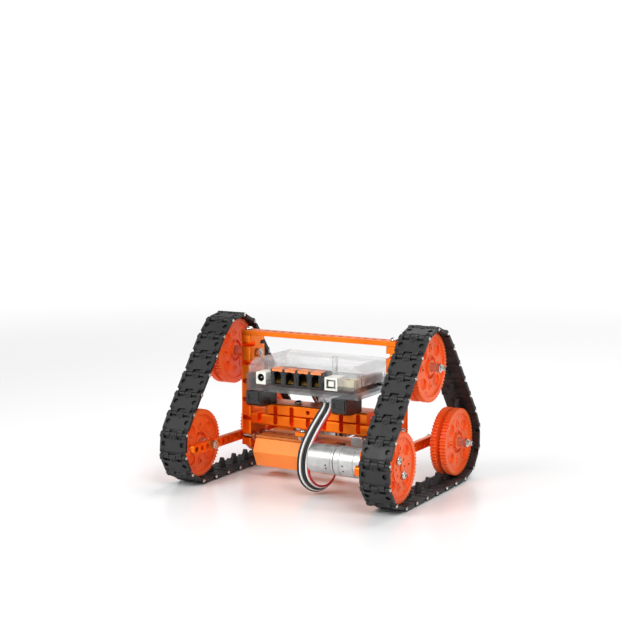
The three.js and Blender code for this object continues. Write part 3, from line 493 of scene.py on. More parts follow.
def pinPlaces(phase):
    # evenly spaced along the loop that the pins follow: three straights and three arcs
    centres = [wheelSpots[k] for k in ("top", "front", "back")]
    radius = trackFacts["pinLine"]
    runs = []
    for i, (y, z) in enumerate(centres):
        ny, nz = centres[(i + 1) % 3]
        length = math.hypot(ny - y, nz - z)
        runs.append((y, z, ny, nz, math.atan2(-(ny - y) / length, (nz - z) / length), length))
    pieces = []
    for i, (y, z, ny, nz, angle, length) in enumerate(runs):
        turn = (runs[(i + 1) % 3][4] - angle) % (2 * math.pi)
        pieces.append((length, "run", (y, z, ny, nz, angle, length)))
        pieces.append((radius * turn, "arc", (ny, nz, angle)))
    total = sum(p[0] for p in pieces)
    places = []
    for i in range(trackFacts["links"]):
        s = (total - pieces[5][0] / 2 + (i + phase) * total / trackFacts["links"]) % total
        k = 0
        while s > pieces[k][0]:
            s -= pieces[k][0]
            k = (k + 1) % 6
        if pieces[k][1] == "run":
            y, z, ny, nz, angle, length = pieces[k][2]
            t = s / length
            places.append((y + (ny - y) * t + radius * math.cos(angle),
                           z + (nz - z) * t + radius * math.sin(angle)))
        else:
            y, z, angle = pieces[k][2]
            a = angle + s / radius
            places.append((y + radius * math.cos(a), z + radius * math.sin(a)))
    return places


def linkOutline(length):
    # plan of one link: tabs reach its own knuckles and notches clear its neighbours'
    f = trackFacts
    edge = f["wide"] / 2
    points = []
    v = -edge
    for a, b in f["startKnuckles"]:  # along the start edge, from -X to +X
        if a > v:
            points += [(f["notch"], v + 0.01), (f["notch"], a)]
        points += [(0, a), (0, b)]
        v = b
    far = length - f["notch"]
    points.append((far, edge))
    for a, b in reversed(f["endKnuckles"]):
        points += [(far, b), (length, b), (length, a), (far, a)]
    points.append((far, -edge))
    return points


def linkShape(length):
    f = trackFacts
    u, v = f["holeAt"]
    holes = [circle(f["hole"], 20, (u, s * v)) for s in (1, -1)]
    shapes = [prism(linkOutline(length), -f["below"], f["above"], holes)]
    turn = Matrix.Rotation(math.radians(-90), 4, "X")  # local z to +Y
    lieAlong = Matrix(((1, 0, 0, 0), (0, 0, 1, 0), (0, 1, 0, 0), (0, 0, 0, 1)))
    for at, spans in ((0, f["startKnuckles"]), (length, f["endKnuckles"])):
        for a, b in spans:
            barrel = turned([(f["knuckle"] - 0.25, a), (f["knuckle"], a + 0.25), (f["knuckle"], b - 0.25),
                             (f["knuckle"] - 0.25, b)], 20)
            shapes.append(moved(barrel, Matrix.Translation((at, 0, 0)) @ turn))
            if a < 0 < b:
                continue
            away = 1 if at == 0 else -1
            crest = [(at + away * u, w) for u, w in f["crest"]]
            shapes.append(moved(prism(crest, a, b), lieAlong))
    outer, inner, tall = f["ring"]
    for at, scale in (((2.7, 0), 1), ((14.6, 10.4), 0.66), ((14.6, -10.4), 0.66)):
        ring = turned([(outer * scale, 0), (outer * scale, tall), (inner * scale, tall), (inner * scale, 0)],
                      20, True)
        shapes.append(moved(ring, Matrix.Translation((*at, f["above"] - 0.1))))
    side = [(length / 2 + u2, -f["below"] + 0.2 - w) for u2, w in f["horn"]]
    mirror = [(length / 2 - u2, -f["below"] + 0.2 - w) for u2, w in reversed(f["horn"])]
    stand = Matrix(((1, 0, 0, 0), (0, 0, -1, 0), (0, 1, 0, 0), (0, 0, 0, 1)))
    shapes.append(moved(prism(side + mirror, -1.6, 1.6), stand))
    # a skin behind the holes and the gaps: they are blind from the tread side
    skinLow, skinHigh = -f["below"], 0.6 - f["below"]
    reach, edge = f["notch"] + 0.3, f["wide"] / 2 - 0.2
    for s in (1, -1):
        shapes.append(box((u - 2.6, s * v - 2.6, skinLow - 0.15), (u + 2.6, s * v + 2.6, skinHigh)))
    shapes.append(box((-reach, -edge, skinLow - 0.1), (reach, edge, skinHigh)))
    for s in (1, -1):  # small raised crosses on the inner face
        y = s * 6.2
        low = -f["below"] - 0.45
        shapes.append(box((length / 2 - 3, y - 0.45, low), (length / 2 + 3, y + 0.45, low + 0.6)))
        shapes.append(box((length / 2 - 0.45, y - 2.4, low), (length / 2 + 0.45, y + 2.4, low + 0.6)))
    return joined(shapes)


def pinEndShape(end):
    # the rounded end of a steel pin, with a small dimple
    half = trackFacts["wide"] / 2 + 0.6
    r = trackFacts["pinEnd"]
    profile = [(r, half - 1.4), (r, half - 0.35), (r - 0.35, half), (0.55, half), (0.35, half - 0.5)]
    return turned([(radius, end * z) for radius, z in profile], 16)


def makeTrack(name, side):
    pins = pinPlaces(trackFacts["phase"][name])
    links, rods = [], []
    x = side * trackFacts["middle"]
    for (y0, z0), (y1, z1) in zip(pins, [*pins[1:], pins[0]]):
        length = math.hypot(y1 - y0, z1 - z0)
        dy, dz = (y1 - y0) / length, (z1 - z0) / length
        place = Matrix(((0, 1, 0, x), (dy, 0, dz, y0), (dz, 0, -dy, z0), (0, 0, 0, 1)))
        links.append(moved(linkShape(length), place))
        at = facing(1, (x, y0, z0))
        rods += [moved(pinEndShape(end), at) for end in (-1, 1)]
        core = trackFacts["wide"] / 2 - 0.3
        links.append(moved(turned([(1.1, -core), (1.1, core)], 12), at))
    build(f"track_links_{name}", joined(links), blackNylon, 0.22,
          [f"track_{name}"])
    build(f"track_pins_{name}", joined(rods), zincSteel, 0, angle=40)


for name, side in sides.items():
    makeTrack(name, side)
print("tracks made")


wheelFacts = {
    "middle": 94, "face": 7.0, "groove": 1.8, "web": 4.2, "step": 5.6, "meet": 0.15,
    "teeth": 60, "root": 27.1, "tip": 28.7, "rimInside": 24.4, "core": 18.4, "bore": 3.9,
    "hubRing": 7.7, "hubHole": (1.35, 1.05), "bossAt": 15.5, "bossHole": (1.9, 1.15), "bossHalf": (3.4, 2.5),
    "petalAt": 17.2, "petalHalf": (4.4, 4.6), "hubRoom": 9.5, "screwCircle": 8, "screwTurn": 2.16,
}


def toothOutline():
    f = wheelFacts
    points = []
    step = 2 * math.pi / f["teeth"]
    for i in range(f["teeth"]):
        for share, radius in ((-0.4, f["root"]), (-0.13, f["tip"]), (0.13, f["tip"]), (0.4, f["root"])):
            a = (i + share) * step
            points.append((radius * math.cos(a), radius * math.sin(a)))
    return points


def oval(at, turn, halfLong, halfWide, count=18):
    points = []
    for x, y in circle(1, count):
        u, v = at + x * halfLong, y * halfWide
        points.append((u * math.cos(turn) - v * math.sin(turn), u * math.sin(turn) + v * math.cos(turn)))
    return points


def screwSpots(side):
    # the two screws of a driven wheel, in the wheel's own plane
    f = wheelFacts
    angles = [f["screwTurn"], f["screwTurn"] + math.pi]
    return [(side * f["screwCircle"] * math.cos(a), f["screwCircle"] * math.sin(a)) for a in angles]


def discShape(side, driven, outer):
    f = wheelFacts
    screws = screwSpots(side) if driven else []
    around = [math.pi / 4 * i for i in range(8)]
    ring = [(f["hubRing"] * math.cos(a), f["hubRing"] * math.sin(a)) for a in around]
    small = [oval(f["hubRing"], a, *f["hubHole"], 12) for a, spot in zip(around, ring)
             if all(math.dist(spot, s) > 4.2 for s in screws)]
    bossHoles = [oval(f["bossAt"], a, *f["bossHole"], 14) for a in around[::2]]
    petals = [oval(f["petalAt"], a, *f["petalHalf"], 24) for a in around[1::2]]
    slot = rectangle((-1.6, -2.9), (1.6, 2.9)) if driven and outer else circle(f["bore"], 24)
    drilled = [circle(2.2, 14, s) for s in screws]
    room = 12.05 if driven and outer else f["hubRoom"]
    shapes = [
        prism(circle(f["core"], 64), f["meet"], f["web"], [slot, *small, *drilled, *bossHoles]),
        turned([(f["core"] - 0.1, f["meet"] + 0.4), (f["root"] - 0.4, f["groove"]),
                (f["root"] - 0.4, f["web"]), (f["core"] - 0.1, f["web"])], 64, True),
        prism(toothOutline(), f["groove"], f["face"], [circle(f["rimInside"], 64)]),
        prism(circle(f["rimInside"] + 0.1, 64), f["web"], f["step"],
              [circle(room, 32), *petals, *bossHoles]),
    ]
    for radius in (f["rimInside"] - 0.9, f["hubRoom"] + 0.8 if room < 12 else room + 0.6):
        shapes.append(turned([(radius, f["step"] - 0.2), (radius, f["step"] + 0.45),
                              (radius - 0.7, f["step"] + 0.45), (radius - 0.7, f["step"] - 0.2)], 64, True))
    for a in around[1::2]:  # a low lip round each recess
        lip = [h + 0.7 for h in f["petalHalf"]]
        shapes.append(prism(oval(f["petalAt"], a, *lip, 24), f["step"] - 0.1, f["step"] + 0.5,
                            [oval(f["petalAt"], a, *f["petalHalf"], 24)]))
    for a in around[::2]:  # a taller oval boss round each outer hole
        shapes.append(prism(oval(f["bossAt"], a, *f["bossHalf"], 20), f["step"] - 0.1, f["step"] + 0.9,
                            [oval(f["bossAt"], a, *f["bossHole"], 14)]))
    for i in range(8):  # small dots near the rim
        a = math.pi / 8 + i * math.pi / 4
        dot = turned([(0.3, f["step"] - 0.1), (0.7, f["step"] - 0.1), (0.6, f["step"] + 0.5),
                      (0.3, f["step"] + 0.5)], 10)
        shapes.append(moved(dot, Matrix.Translation((21.4 * math.cos(a), 21.4 * math.sin(a), 0))))
    if driven and outer:
        shapes.append(prism(circle(11.9, 40), f["web"] - 0.1, f["face"], [slot, *drilled, *small]))
    else:
        shapes.append(turned([(f["bore"], f["web"] - 0.1), (6.2, f["web"] - 0.1), (6.2, f["face"] - 0.2),
                              (f["bore"], f["face"] - 0.2)], 32, True))
    return joined(shapes)


def makeWheel(name, side, spot):
    y, z = wheelSpots[spot]
    driven = drivenSpot[name] == spot
    body = f"wheel_{name}_{spot}"
    for which, sign in (("outer", 1), ("inner", -1)):
        at = (side * wheelFacts["middle"], y, z)
        shape = moved(discShape(side * sign, driven, sign > 0), facing(side * sign, at))
        build(f"wheel_{which}_{name}_{spot}_disc", shape, orangePlastic, 0.2,
              [f"wheel_{which}_{name}_{spot}"], body=body)


for name, side in sides.items():
    for spot in wheelSpots:
        makeWheel(name, side, spot)
print("wheels made")


screwFacts = {"head": 3.5, "headHigh": 2.2, "socket": 1.3, "shank": 1.9, "nutAcross": 3.45, "nutThick": 3.2,
              "threadPitch": 0.7, "threadDeep": 0.3}


def hexLoop(apothem, z, count=24):
    points = []
    for i in range(count):
        a = 2 * math.pi * i / count
        away = apothem / math.cos((a + math.pi / 6) % (math.pi / 3) - math.pi / 6)
        points.append((away * math.cos(a), away * math.sin(a), z))
    return points


def headShape():
    # button head with a hexagon socket; it stands on z = 0
    f = screwFacts
    r, h = f["head"], f["headHigh"]
    dome = [(r - 0.2, 0), (r, 0.25), (r, 0.6), (r - 0.25, 1.2), (r - 0.8, 1.75),
            (r - 1.5, h - 0.1), (f["socket"] + 0.5, h)]
    loops = [[(x, y, z) for x, y in circle(radius, 24)] for radius, z in dome]
    loops += [hexLoop(f["socket"], h), hexLoop(f["socket"], 0.9), hexLoop(0.2, 0.6)]
    return skin(loops)


def nutShape():
    # hexagon nut with eased corners; it stands on z = 0
    f = screwFacts
    a, t = f["nutAcross"], f["nutThick"]
    loops = [hexLoop(a * 0.9, 0), hexLoop(a, 0.35), hexLoop(a, t - 0.35), hexLoop(a * 0.9, t)]
    return skin(loops)


def threadShape(radius, low, high):
    # rings at the thread's pitch
    f = screwFacts
    count = max(2, round((high - low) / f["threadPitch"]))
    step = (high - low) / count
    profile = [(radius - 0.5, low)]
    for i in range(count):
        z = low + i * step
        profile += [(radius - f["threadDeep"], z + 0.05 * step), (radius, z + 0.5 * step)]
    profile.append((radius - 0.5, high))
    return turned(profile, 14)


def acrossScrew(side, y, z, head, nutFace, tip):
    # along X: button head outside, nut inside where nutFace is given
    shapes = [moved(headShape(), facing(side, (side * head, y, z)))]
    shapes.append(moved(threadShape(screwFacts["shank"], tip, head + 0.5), facing(side, (0, y, z))))
    if nutFace is not None:
        shapes.append(moved(nutShape(), facing(side, (side * (nutFace - screwFacts["nutThick"]), y, z))))
    return joined(shapes)


def uprightScrewShape(x, y, head, tip, nutTop=None):
    # along Z: button head on top
    shapes = [moved(headShape(), Matrix.Translation((x, y, head)))]
    shapes.append(moved(threadShape(screwFacts["shank"], tip, head + 0.5), Matrix.Translation((x, y, 0))))
    if nutTop is not None:
        shapes.append(moved(nutShape(), Matrix.Translation((x, y, nutTop - screwFacts["nutThick"]))))
    return joined(shapes)


frameFacts = {"uprightInner": 65, "beamThick": 9.6, "beamDeep": 24, "railThick": 4, "gap": 0.3,
              "uprightLow": 26, "uprightHigh": 122, "crossMiddle": 50, "topBarMiddle": -6,
              "stackBolt": 24, "slotWide": 4,
              "slotWeb": 1.3, "slotIn": 8, "corner": 1.5, "railScrews": (-8, 8), "grid": 8, "barThick": 4}
uprightOuter = frameFacts["uprightInner"] + frameFacts["beamThick"]
uprightMiddle = frameFacts["uprightInner"] + frameFacts["beamThick"] / 2
railInner = uprightOuter + frameFacts["gap"]
railOuter = railInner + frameFacts["railThick"]
crossTop = frameFacts["crossMiddle"] + frameFacts["beamThick"] / 2
crossLow = frameFacts["crossMiddle"] - frameFacts["beamThick"] / 2
upperLow = crossTop + frameFacts["gap"]
upperTop = upperLow + frameFacts["beamThick"]
hangerTop = crossLow - frameFacts["gap"]


def makeScrews():
    gap = frameFacts["gap"]
    inner = frameFacts["uprightInner"]
    barTop = frameFacts["uprightHigh"] + gap + frameFacts["barThick"] + gap
    for name, side in sides.items():
        for end, y in zip(("front", "back"), frameFacts["railScrews"]):
            tip = inner - gap - screwFacts["nutThick"] - 0.7
            shape = acrossScrew(side, y, axleHeight, railOuter + gap, inner - gap, tip)
            build(f"rail_bolt_{name}_{end}", shape, zincSteel, 0,
                  [f"rail_screw_{name}_{end}"])
        shape = acrossScrew(side, 0, frameFacts["crossMiddle"], uprightOuter + gap, None, inner - 12)
        build(f"upright_bolt_{name}", shape, zincSteel, 0, [f"upright_screw_{name}"])
        shape = uprightScrewShape(side * uprightMiddle, frameFacts["topBarMiddle"], barTop, 117)
        build(f"top_bar_bolt_{name}", shape, zincSteel, 0, [f"top_bar_screw_{name}"])
        nutTop = crossLow - gap
        tip = nutTop - screwFacts["nutThick"] - 0.7
        shape = uprightScrewShape(side * frameFacts["stackBolt"], 0, upperTop + gap, tip, nutTop)
        build(f"stack_screw_{name}", shape, zincSteel, 0, [f"stack_bolt_{name}"])
    nutTop = hangerTop - 3 - gap
    shape = uprightScrewShape(-8, -20, hangerTop + gap, 35.1, nutTop)
    build("hanger_screw", shape, zincSteel, 0, ["hanger_bolt"])


def makeAxle(name, side, spot):
    y, z = wheelSpots[spot]
    gap, thick = frameFacts["gap"], screwFacts["nutThick"]
    throughUpright = spot == "top"
    inner = (frameFacts["uprightInner"] if throughUpright else railInner) - gap
    outer = (uprightOuter if throughUpright else railOuter) + gap
    sleeveEnd = 101 + 5.2
    at = facing(side, (0, y, z))
    steelParts = [threadShape(2, inner - thick - 0.7, 113.5)]
    for start in (inner - thick, outer, sleeveEnd):
        steelParts.append(moved(nutShape(), Matrix.Translation((0, 0, start))))
    cap = turned([(1.2, 112.2), (1.9, 112.3), (1.9, 113.2), (1.4, 113.5)], 16)
    steelParts.append(cap)
    build(f"axle_rod_{name}_{spot}", moved(joined(steelParts), at), zincSteel, 0,
          [f"axle_{name}_{spot}"], 40)
    spacer = turned([(2.2, outer + thick), (4.4, outer + thick), (4.4, 86.6), (2.2, 86.6)], 28, True)
    sleeve = turned([(2.2, 86.7), (3.6, 86.7), (3.6, sleeveEnd - 0.1), (2.2, sleeveEnd - 0.1)], 28, True)
    build(f"axle_sleeve_{name}_{spot}", moved(joined([spacer, sleeve]), at), sleeveSteel, 0.2)


def makeDriveHub(name, side):
    y, z = wheelSpots[drivenSpot[name]]
    flange, face = 86.7, 101.3
    at = facing(side, (0, y, z))
    shapes = [turned([(2, 64.5), (2, railOuter + 2)], 20),
              turned([(2.2, railOuter + 0.6), (4.6, railOuter + 0.6), (5, railOuter + 1), (5, flange - 3),
                      (11.6, flange - 3), (12, flange - 2.6), (12, flange), (2.2, flange)], 40, True),
              turned([(3.4, flange - 0.5), (3.4, 96.5)], 24)]
    for x, up in screwSpots(side):
        shapes.append(moved(headShape(), Matrix.Translation((x, up, face))))
        shapes.append(moved(threadShape(1.9, flange - 1, face + 0.4), Matrix.Translation((x, up, 0))))
    build(f"drive_hub_{name}_shape", moved(joined(shapes), at), zincSteel, 0,
          [f"drive_hub_{name}"], 40, body=f"wheel_{name}_{drivenSpot[name]}")


makeScrews()
for name, side in sides.items():
    makeDriveHub(name, side)
    for spot in wheelSpots:
        if spot != drivenSpot[name]:
            makeAxle(name, side, spot)
print("screws and axles made")


def slotTool(face, edge, across):
    # one slot of a beam in its own section: local x from the open wide face, y to the narrow edge, z along
    f = frameFacts
    half = f["slotWide"] / 2
    low, web = -1, f["beamThick"] - f["slotWeb"]
    deep = f["beamDeep"] / 2 - f["slotIn"]
    out = f["beamDeep"] / 2 + 1
    points = []
    for i in range(9):
        a = math.pi * i / 8 - math.pi / 2
        c, s = math.cos(a), math.sin(a)
        points.append((web - half + half * c, out, half * s))
        points.append((low, deep + half - half * c, half * s))
        for k in range(4):
            b = math.pi / 2 * k / 3
            points.append((web - half + half * c * math.cos(b),
                           deep + half - half * c * math.sin(b), half * s))
    points += [(low, out, half), (low, out, -half)]
    work = bmesh.new()
    for x, y, z in points:
        spot = (face + across * x, edge * y, z)
        work.verts.new(spot)
    result = bmesh.ops.convex_hull(work, input=work.verts)
    loose = {g for g in result["geom_interior"] + result["geom_unused"] if isinstance(g, bmesh.types.BMVert)}
    bmesh.ops.delete(work, geom=list(loose), context="VERTS")
    work.verts.index_update()
    shape = ([tuple(v.co) for v in work.verts], [tuple(v.index for v in side.verts) for side in work.faces])
    work.free()
    return shape


def beamShape(length, face, across, slotPlaces, drilled, spared=None):
    # a beam along local z; its section is beamThick in x and beamDeep in y
    f = frameFacts
    low, high = sorted((face, face + across * f["beamThick"]))
    half = f["beamDeep"] / 2
    bar = prism(roundRectangle((low, -half), (high, half), f["corner"], 5), -length / 2, length / 2)
    tools = []
    for place in slotPlaces:
        for edge in (-1, 1):
            if (place, edge) != spared:
                tools.append(moved(slotTool(face, edge, across), Matrix.Translation((0, 0, place))))
    return carve(bar, [*tools, *drilled])


def throughX(radius, y, z):
    # a round cutter along local x of a beam
    reach = 2 * (frameFacts["uprightInner"] + frameFacts["beamThick"])
    rod = turned([(radius, -reach), (radius, reach)], 20)
    return moved(rod, facing(1, (0, y, z)))


def makeUprights():
    f = frameFacts
    middle = (f["uprightLow"] + f["uprightHigh"]) / 2
    length = f["uprightHigh"] - f["uprightLow"]
    places = [f["uprightLow"] + f["grid"] * (1 + 2 * i) - middle for i in range(6)]
    for name, side in sides.items():
        drilled = [throughX(2.2, y, axleHeight - middle) for y in f["railScrews"]]
        drilled += [throughX(2.4, 0, topAxle - middle), throughX(2.2, 0, f["crossMiddle"] - middle)]
        shape = beamShape(length, side * f["uprightInner"], side, places, drilled)
        shape = moved(shape, Matrix.Translation((0, 0, middle)))
        build(f"upright_{name}_beam", shape, orangeMetal, 0.2, [f"upright_{name}"])


def makeCrossBeams():
    # the lower one opens upwards and the upper one downwards, so that bolts reach their slots
    f = frameFacts
    lay = Matrix(((0, 0, 1, 0), (0, 1, 0, 0), (-1, 0, 0, 0), (0, 0, 0, 1)))  # local z to X, local x to -Z
    for label, length, low, openUp in (("lower", 129.4, crossLow, True), ("upper", 96, upperLow, False)):
        count = int(length // (2 * f["grid"]))
        places = [(i - (count - 1) / 2) * 2 * f["grid"] for i in range(count)]
        face = -(low + f["beamThick"]) if openUp else -low
        drilled = []
        for x in (-f["stackBolt"], f["stackBolt"]):
            rod = turned([(2.2, -90), (2.2, -30)], 20)
            drilled.append(moved(rod, Matrix(((0, 0, 1, 0), (0, 1, 0, 0), (-1, 0, 0, x), (0, 0, 0, 1)))))
        spared = None if openUp else (-8, -1)  # one round hole stands in for a slot
        if spared:
            rod = turned([(1.8, 4), (1.8, 14)], 20)
            stand = Matrix(((-1, 0, 0, face - 4.8), (0, 0, -1, 0), (0, 1, 0, -8), (0, 0, 0, 1)))
            drilled.append(moved(rod, stand))
        shape = beamShape(length, face, 1 if openUp else -1, places, drilled, spared)
        build(f"cross_beam_{label}_beam", moved(shape, lay), orangeMetal, 0.2,
              [f"cross_beam_{label}"])


def makeBars():
    f = frameFacts
    low = f["uprightHigh"] + f["gap"]
    mid = f["topBarMiddle"]
    spots = [-uprightMiddle, uprightMiddle, *[(i - 7.5) * f["grid"] for i in range(16)]]
    outline = roundRectangle((-uprightOuter, mid - 6), (uprightOuter, mid + 6), 1.2, 4)
    shape = prism(outline, low, low + f["barThick"], [circle(2.2, 24, (x, mid)) for x in spots])
    build("top_bar_plate", shape, orangeMetal, 0.35, ["top_bar"])
    for name, side in sides.items():
        outline = roundRectangle((-84, -4), (84, 4), 2.6, 5)
        holes = [circle(2.3, 24, (f["grid"] * i, 0)) for i in range(-10, 11)]
        shape = moved(prism(outline, railInner, railOuter, holes), facing(side, (0, 0, axleHeight)))
        build(f"side_rail_{name}_bar", shape, orangeMetal, 0.35, [f"side_rail_{name}"])


makeUprights()
makeCrossBeams()
makeBars()
refined("hanger_tab", orangeMetal, 0.3)
refined("hanger_angle", canSteel, 0.4)
print("beams made")


motorFacts = {"radius": 12.2, "rear": 21.5, "seam": 46.2, "front": 71.3, "socketAt": (31, -31, 33),
              "socket": (7.6, 13, 8)}


def cylinderPatch(radius, low, high, turnFrom, turnTo, thick):
    # a thin curved plate on a cylinder round local z
    steps = 8
    outline = []
    for r in (radius + thick, radius - 0.4):
        row = []
        for i in range(steps + 1):
            a = math.radians(turnFrom + (turnTo - turnFrom) * i / steps)
            row.append((r * math.cos(a), r * math.sin(a)))
        outline += row if r > radius else row[::-1]
    return prism(outline, low, high)


def makeMotor(name, side):
    f = motorFacts
    r = f["radius"] - 0.2
    y, z = wheelSpots[drivenSpot[name]]
    at = facing(side, (0, y, z))
    can = [turned([(2.4, f["rear"]), (2.8, f["rear"] + 0.3), (2.8, f["rear"] + 1), (4.6, f["rear"] + 1.1),
                   (5, f["rear"] + 0.6), (10.2, f["rear"] + 0.6), (11.3, f["rear"] + 1), (r, f["rear"] + 2),
                   (r, 43.6), (r - 0.35, 43.8), (r - 0.35, 44.2), (r, 44.4), (r, 45.2), (r + 0.2, 45.3),
                   (r + 0.2, f["seam"]), (0.4, f["seam"])], 56)]
    can.append(cylinderPatch(r, 24.5, 42.5, 214, 217, 0.25))
    wide = f["radius"]
    gear = turned([(1, 46.5), (wide - 0.4, 46.5), (wide, 46.9), (wide, 51.6), (wide - 0.4, 51.8),
                   (wide - 0.4, 52.2), (wide, 52.4), (wide, 64.2), (wide - 0.4, 64.4), (wide - 0.4, 64.8),
                   (wide, 65), (wide, f["front"] - 0.4), (wide - 0.4, f["front"]), (1, f["front"])], 56)
    build(f"motor_can_{name}_body", moved(joined(can), at), canSteel, 0, [f"motor_can_{name}"])
    build(f"gearbox_{name}_body", moved(gear, at), canSteel, 0, [f"gearbox_{name}"])
    # dark patches on the can and gearbox are painted shade standing in for the vent slots; the last piece is
    # a dark ring filling the recess round the rear bearing
    slotShadeAndRing = [cylinderPatch(r, 39.4, 40.6, t, t + 7, 0.12) for t in (188, 202)]
    slotShadeAndRing += [cylinderPatch(f["radius"], 55, 56.4, t, t + 5, 0.12) for t in (184, 206)]
    slotShadeAndRing.append(turned([(2.9, f["rear"] + 0.2), (4.4, f["rear"] + 0.2), (4.4, f["rear"] + 1.2),
                         (2.9, f["rear"] + 1.2)], 24, True))
    build(f"motor_slot_shade_and_ring_{name}", moved(joined(slotShadeAndRing), at), blackEpoxyAndSlotShade, 0)
    # the cable's socket stands behind the can on its own arm
    x, sy, low = f["socketAt"]
    w, d, h = (s / 2 for s in f["socket"])
    turn = Matrix.Rotation(0 if side > 0 else math.pi, 4, "Z")
    hull = prism(rectangle((x - w, sy - d), (x + w, sy + d)), low, low + 6,
                 [rectangle((x - w + 1, sy - d + 0.8), (x + w - 1, sy + d - 0.8))])
    lid = box((x - w, sy - d, low + 5.9), (x + w, sy + d, low + 2 * h))
    arm = box((x - 2.6, y * side + r - 0.8, low + 1.4), (x + 2.6, sy - d + 0.2, low + 6.4))
    latch = box((x + w - 0.1, sy - 2.6, low + 2), (x + w + 0.5, sy + 2.6, low + 7))
    build(f"motor_socket_{name}", moved(joined([hull, lid, arm, latch]), turn), blackGloss, 0.25)
    for colour, shift in (("red", 0), ("black", 1.5)):
        lead = [(x + 1 - shift, sy - d + 0.5, low + 7.2), (x + 1 - shift, sy - d - 1.8, low + 8.6),
                (x - 1 - shift, -48.5, 43.6), (x - 3 - shift, -52, 46.0), (x - 5.6 - shift, -54.6, 46.3),
                (22.6 - 0.2 * shift, -56 + shift, 45.0 - 0.3 * shift)]
        build(f"motor_lead_{name}_{colour}", moved(tube(lead, 0.62), turn), wireColours[colour], 0)
    refined(f"motor_bracket_{name}", orangeMetal, 0.4)


def tube(points, radius, count=10):
    path = smoothPath(points, 5)
    wide = acrossPath(path, (0.3, 0.1, 1))
    loops = []
    for before, spot, after, side in zip([path[0], *path], path, [*path[1:], path[-1]], wide):
        up = (after - before).normalized().cross(side)
        loops.append([tuple(spot + side * x + up * y) for x, y in circle(radius, count)])
    return skin(loops)


for name, side in sides.items():
    makeMotor(name, side)
print("motors made")


batteryFacts = {"half": 57, "low": 10, "high": 36.5}


def makeBattery():
    refined("battery_case", batteryCoat, 0.7)
    # the lid's darker colour is painted shade on the case's own orange coat
    refined("battery_lid", lidCoatPaintedShade, 0.35)
    refined("battery_cells", cellBlue, 0)
    f = batteryFacts
    # dark boxes in pairs along the lid's front edge are painted shade standing in for its rows of slots
    ventSlotShade = [box((8 * i - 1.6 + k, -14.9, f["high"] - 0.3), (8 * i - 0.2 + k, -13.7, f["high"] + 0.03))
             for i in range(-6, 7) for k in (0, 2)]
    build("battery_vent_slot_shade", joined(ventSlotShade), blackEpoxyAndSlotShade, 0)
    shapes = []
    for end in (-1, 1):  # two screws on each end
        at = facing(end, (end * (f["half"] - 0.1), 0, (f["low"] + f["high"]) / 2))
        for x in (-12, 12):
            shapes.append(moved(turned([(1.9, 0), (1.9, 0.5), (1.4, 0.8), (0.5, 0.8), (0.4, 0.4)], 20),
                                at @ Matrix.Translation((x, 0, 0))))
    build("battery_end_screws", joined(shapes), zincSteel, 0)


makeBattery()
print("battery made")


caseFacts = {
    "half": 52, "front": -36, "back": 30, "low": 79.5, "coverLow": 90, "top": 106.6,
    "chamfer": 6, "slope": 4.8, "ribStep": 3.6, "ribHalf": 0.45, "boardLow": 83.7, "boardTop": 85.3,
    "ports": {"middle": -5.5, "pitch": 12.4, "count": 4, "front": -35.4, "deep": 11, "back": -20.4,
              "low": 85.6, "high": 99.6, "floor": 87, "wide": 7.8, "tall": 10.4},
}


def archOutline(x, low, wide, tall):
    half = wide / 2
    points = [(x - half, low), (x + half, low)]
    spring = low + tall - half
    for i in range(13):
        a = math.pi * i / 12
        points.append((x + half * math.cos(a), spring + half * math.sin(a)))
    return points


def makePorts():
    f = caseFacts["ports"]
    front, floor, high = f["front"], f["floor"], f["high"]
    flip = sideways()
    spots = [f["middle"] + (k - (f["count"] - 1) / 2) * f["pitch"] for k in range(f["count"])]
    arches = [archOutline(x, floor, f["wide"], f["tall"]) for x in spots]
    row = f["count"] * f["pitch"] / 2
    face = rectangle((f["middle"] - row, f["low"]), (f["middle"] + row, high))
    shapes = [prism(face, -front - f["deep"], -front, arches),
              prism(face, -f["back"], -front - f["deep"] + 0.1)]
    for x, arch in zip(spots, arches):
        rim = archOutline(x, floor - 0.5, f["wide"] + 1, f["tall"] + 1)
        shapes.append(prism(rim, -front - 1, -front + 0.25, [arch]))
    half = f["pitch"] / 2
    posts = []
    for x in (spots[0] - half + 1.8, *[x + half for x in spots[:-1]], spots[-1] + half - 1.8):
        outline = roundRectangle((x - 1.7, f["low"] + 0.6), (x + 1.7, high - 2.2), 0.5, 3)
        posts.append(prism(outline, -front - 0.2, -front + 0.5))
    build("port_dividers", moved(joined(posts), flip), greyTray, 0.15)
    build("port_row", moved(joined(shapes), flip), blackGloss, 0.2, ["port_block"])
    contacts = []
    for x in spots:
        for i in range(6):
            at = x + (i - 2.5) * 1.02
            contacts.append(tube([(at, front + 10.6, floor + 7.6), (at, front + 8, floor + 6.4),
                                  (at, front + 3.4, floor + 3.4), (at, front + 2.2, floor + 0.4)], 0.24, 6))
    build("port_contacts", joined(contacts), gold, 0)
    labels = []
    for x in spots:  # each folds over the row's front edge
        labels.append(box((x - 4.9, front - 0.25, high - 2.1), (x + 4.9, front + 0.1, high + 0.25)))
        labels.append(box((x - 4.9, front - 0.25, high), (x + 4.9, front + 9, high + 0.25)))
    build("port_labels", joined(labels), labelOrange, 0)


def makeUsb():
    refined("usb_socket", whitePlastic, 0.3)
    liner = prism(rectangle((22.7, 87.3), (31.3, 94.7)), 26.4, 35.3, [rectangle((23.1, 87.7), (30.9, 94.3))])
    tongue = box((24.5, -35, 88.9), (29.5, -26, 93.2))
    build("usb_liner", moved(liner, sideways()), zincSteel, 0.1)
    build("usb_tongue", tongue, whitePlastic, 0.2)


jackFacts = {"middle": (-40, 91), "half": 4.8, "low": 85.3, "high": 95.7, "hole": 3.3, "collar": 4.1,
             "front": 35.4, "floor": 26.4, "back": 22.4}  # front, floor and back are depths along -Y


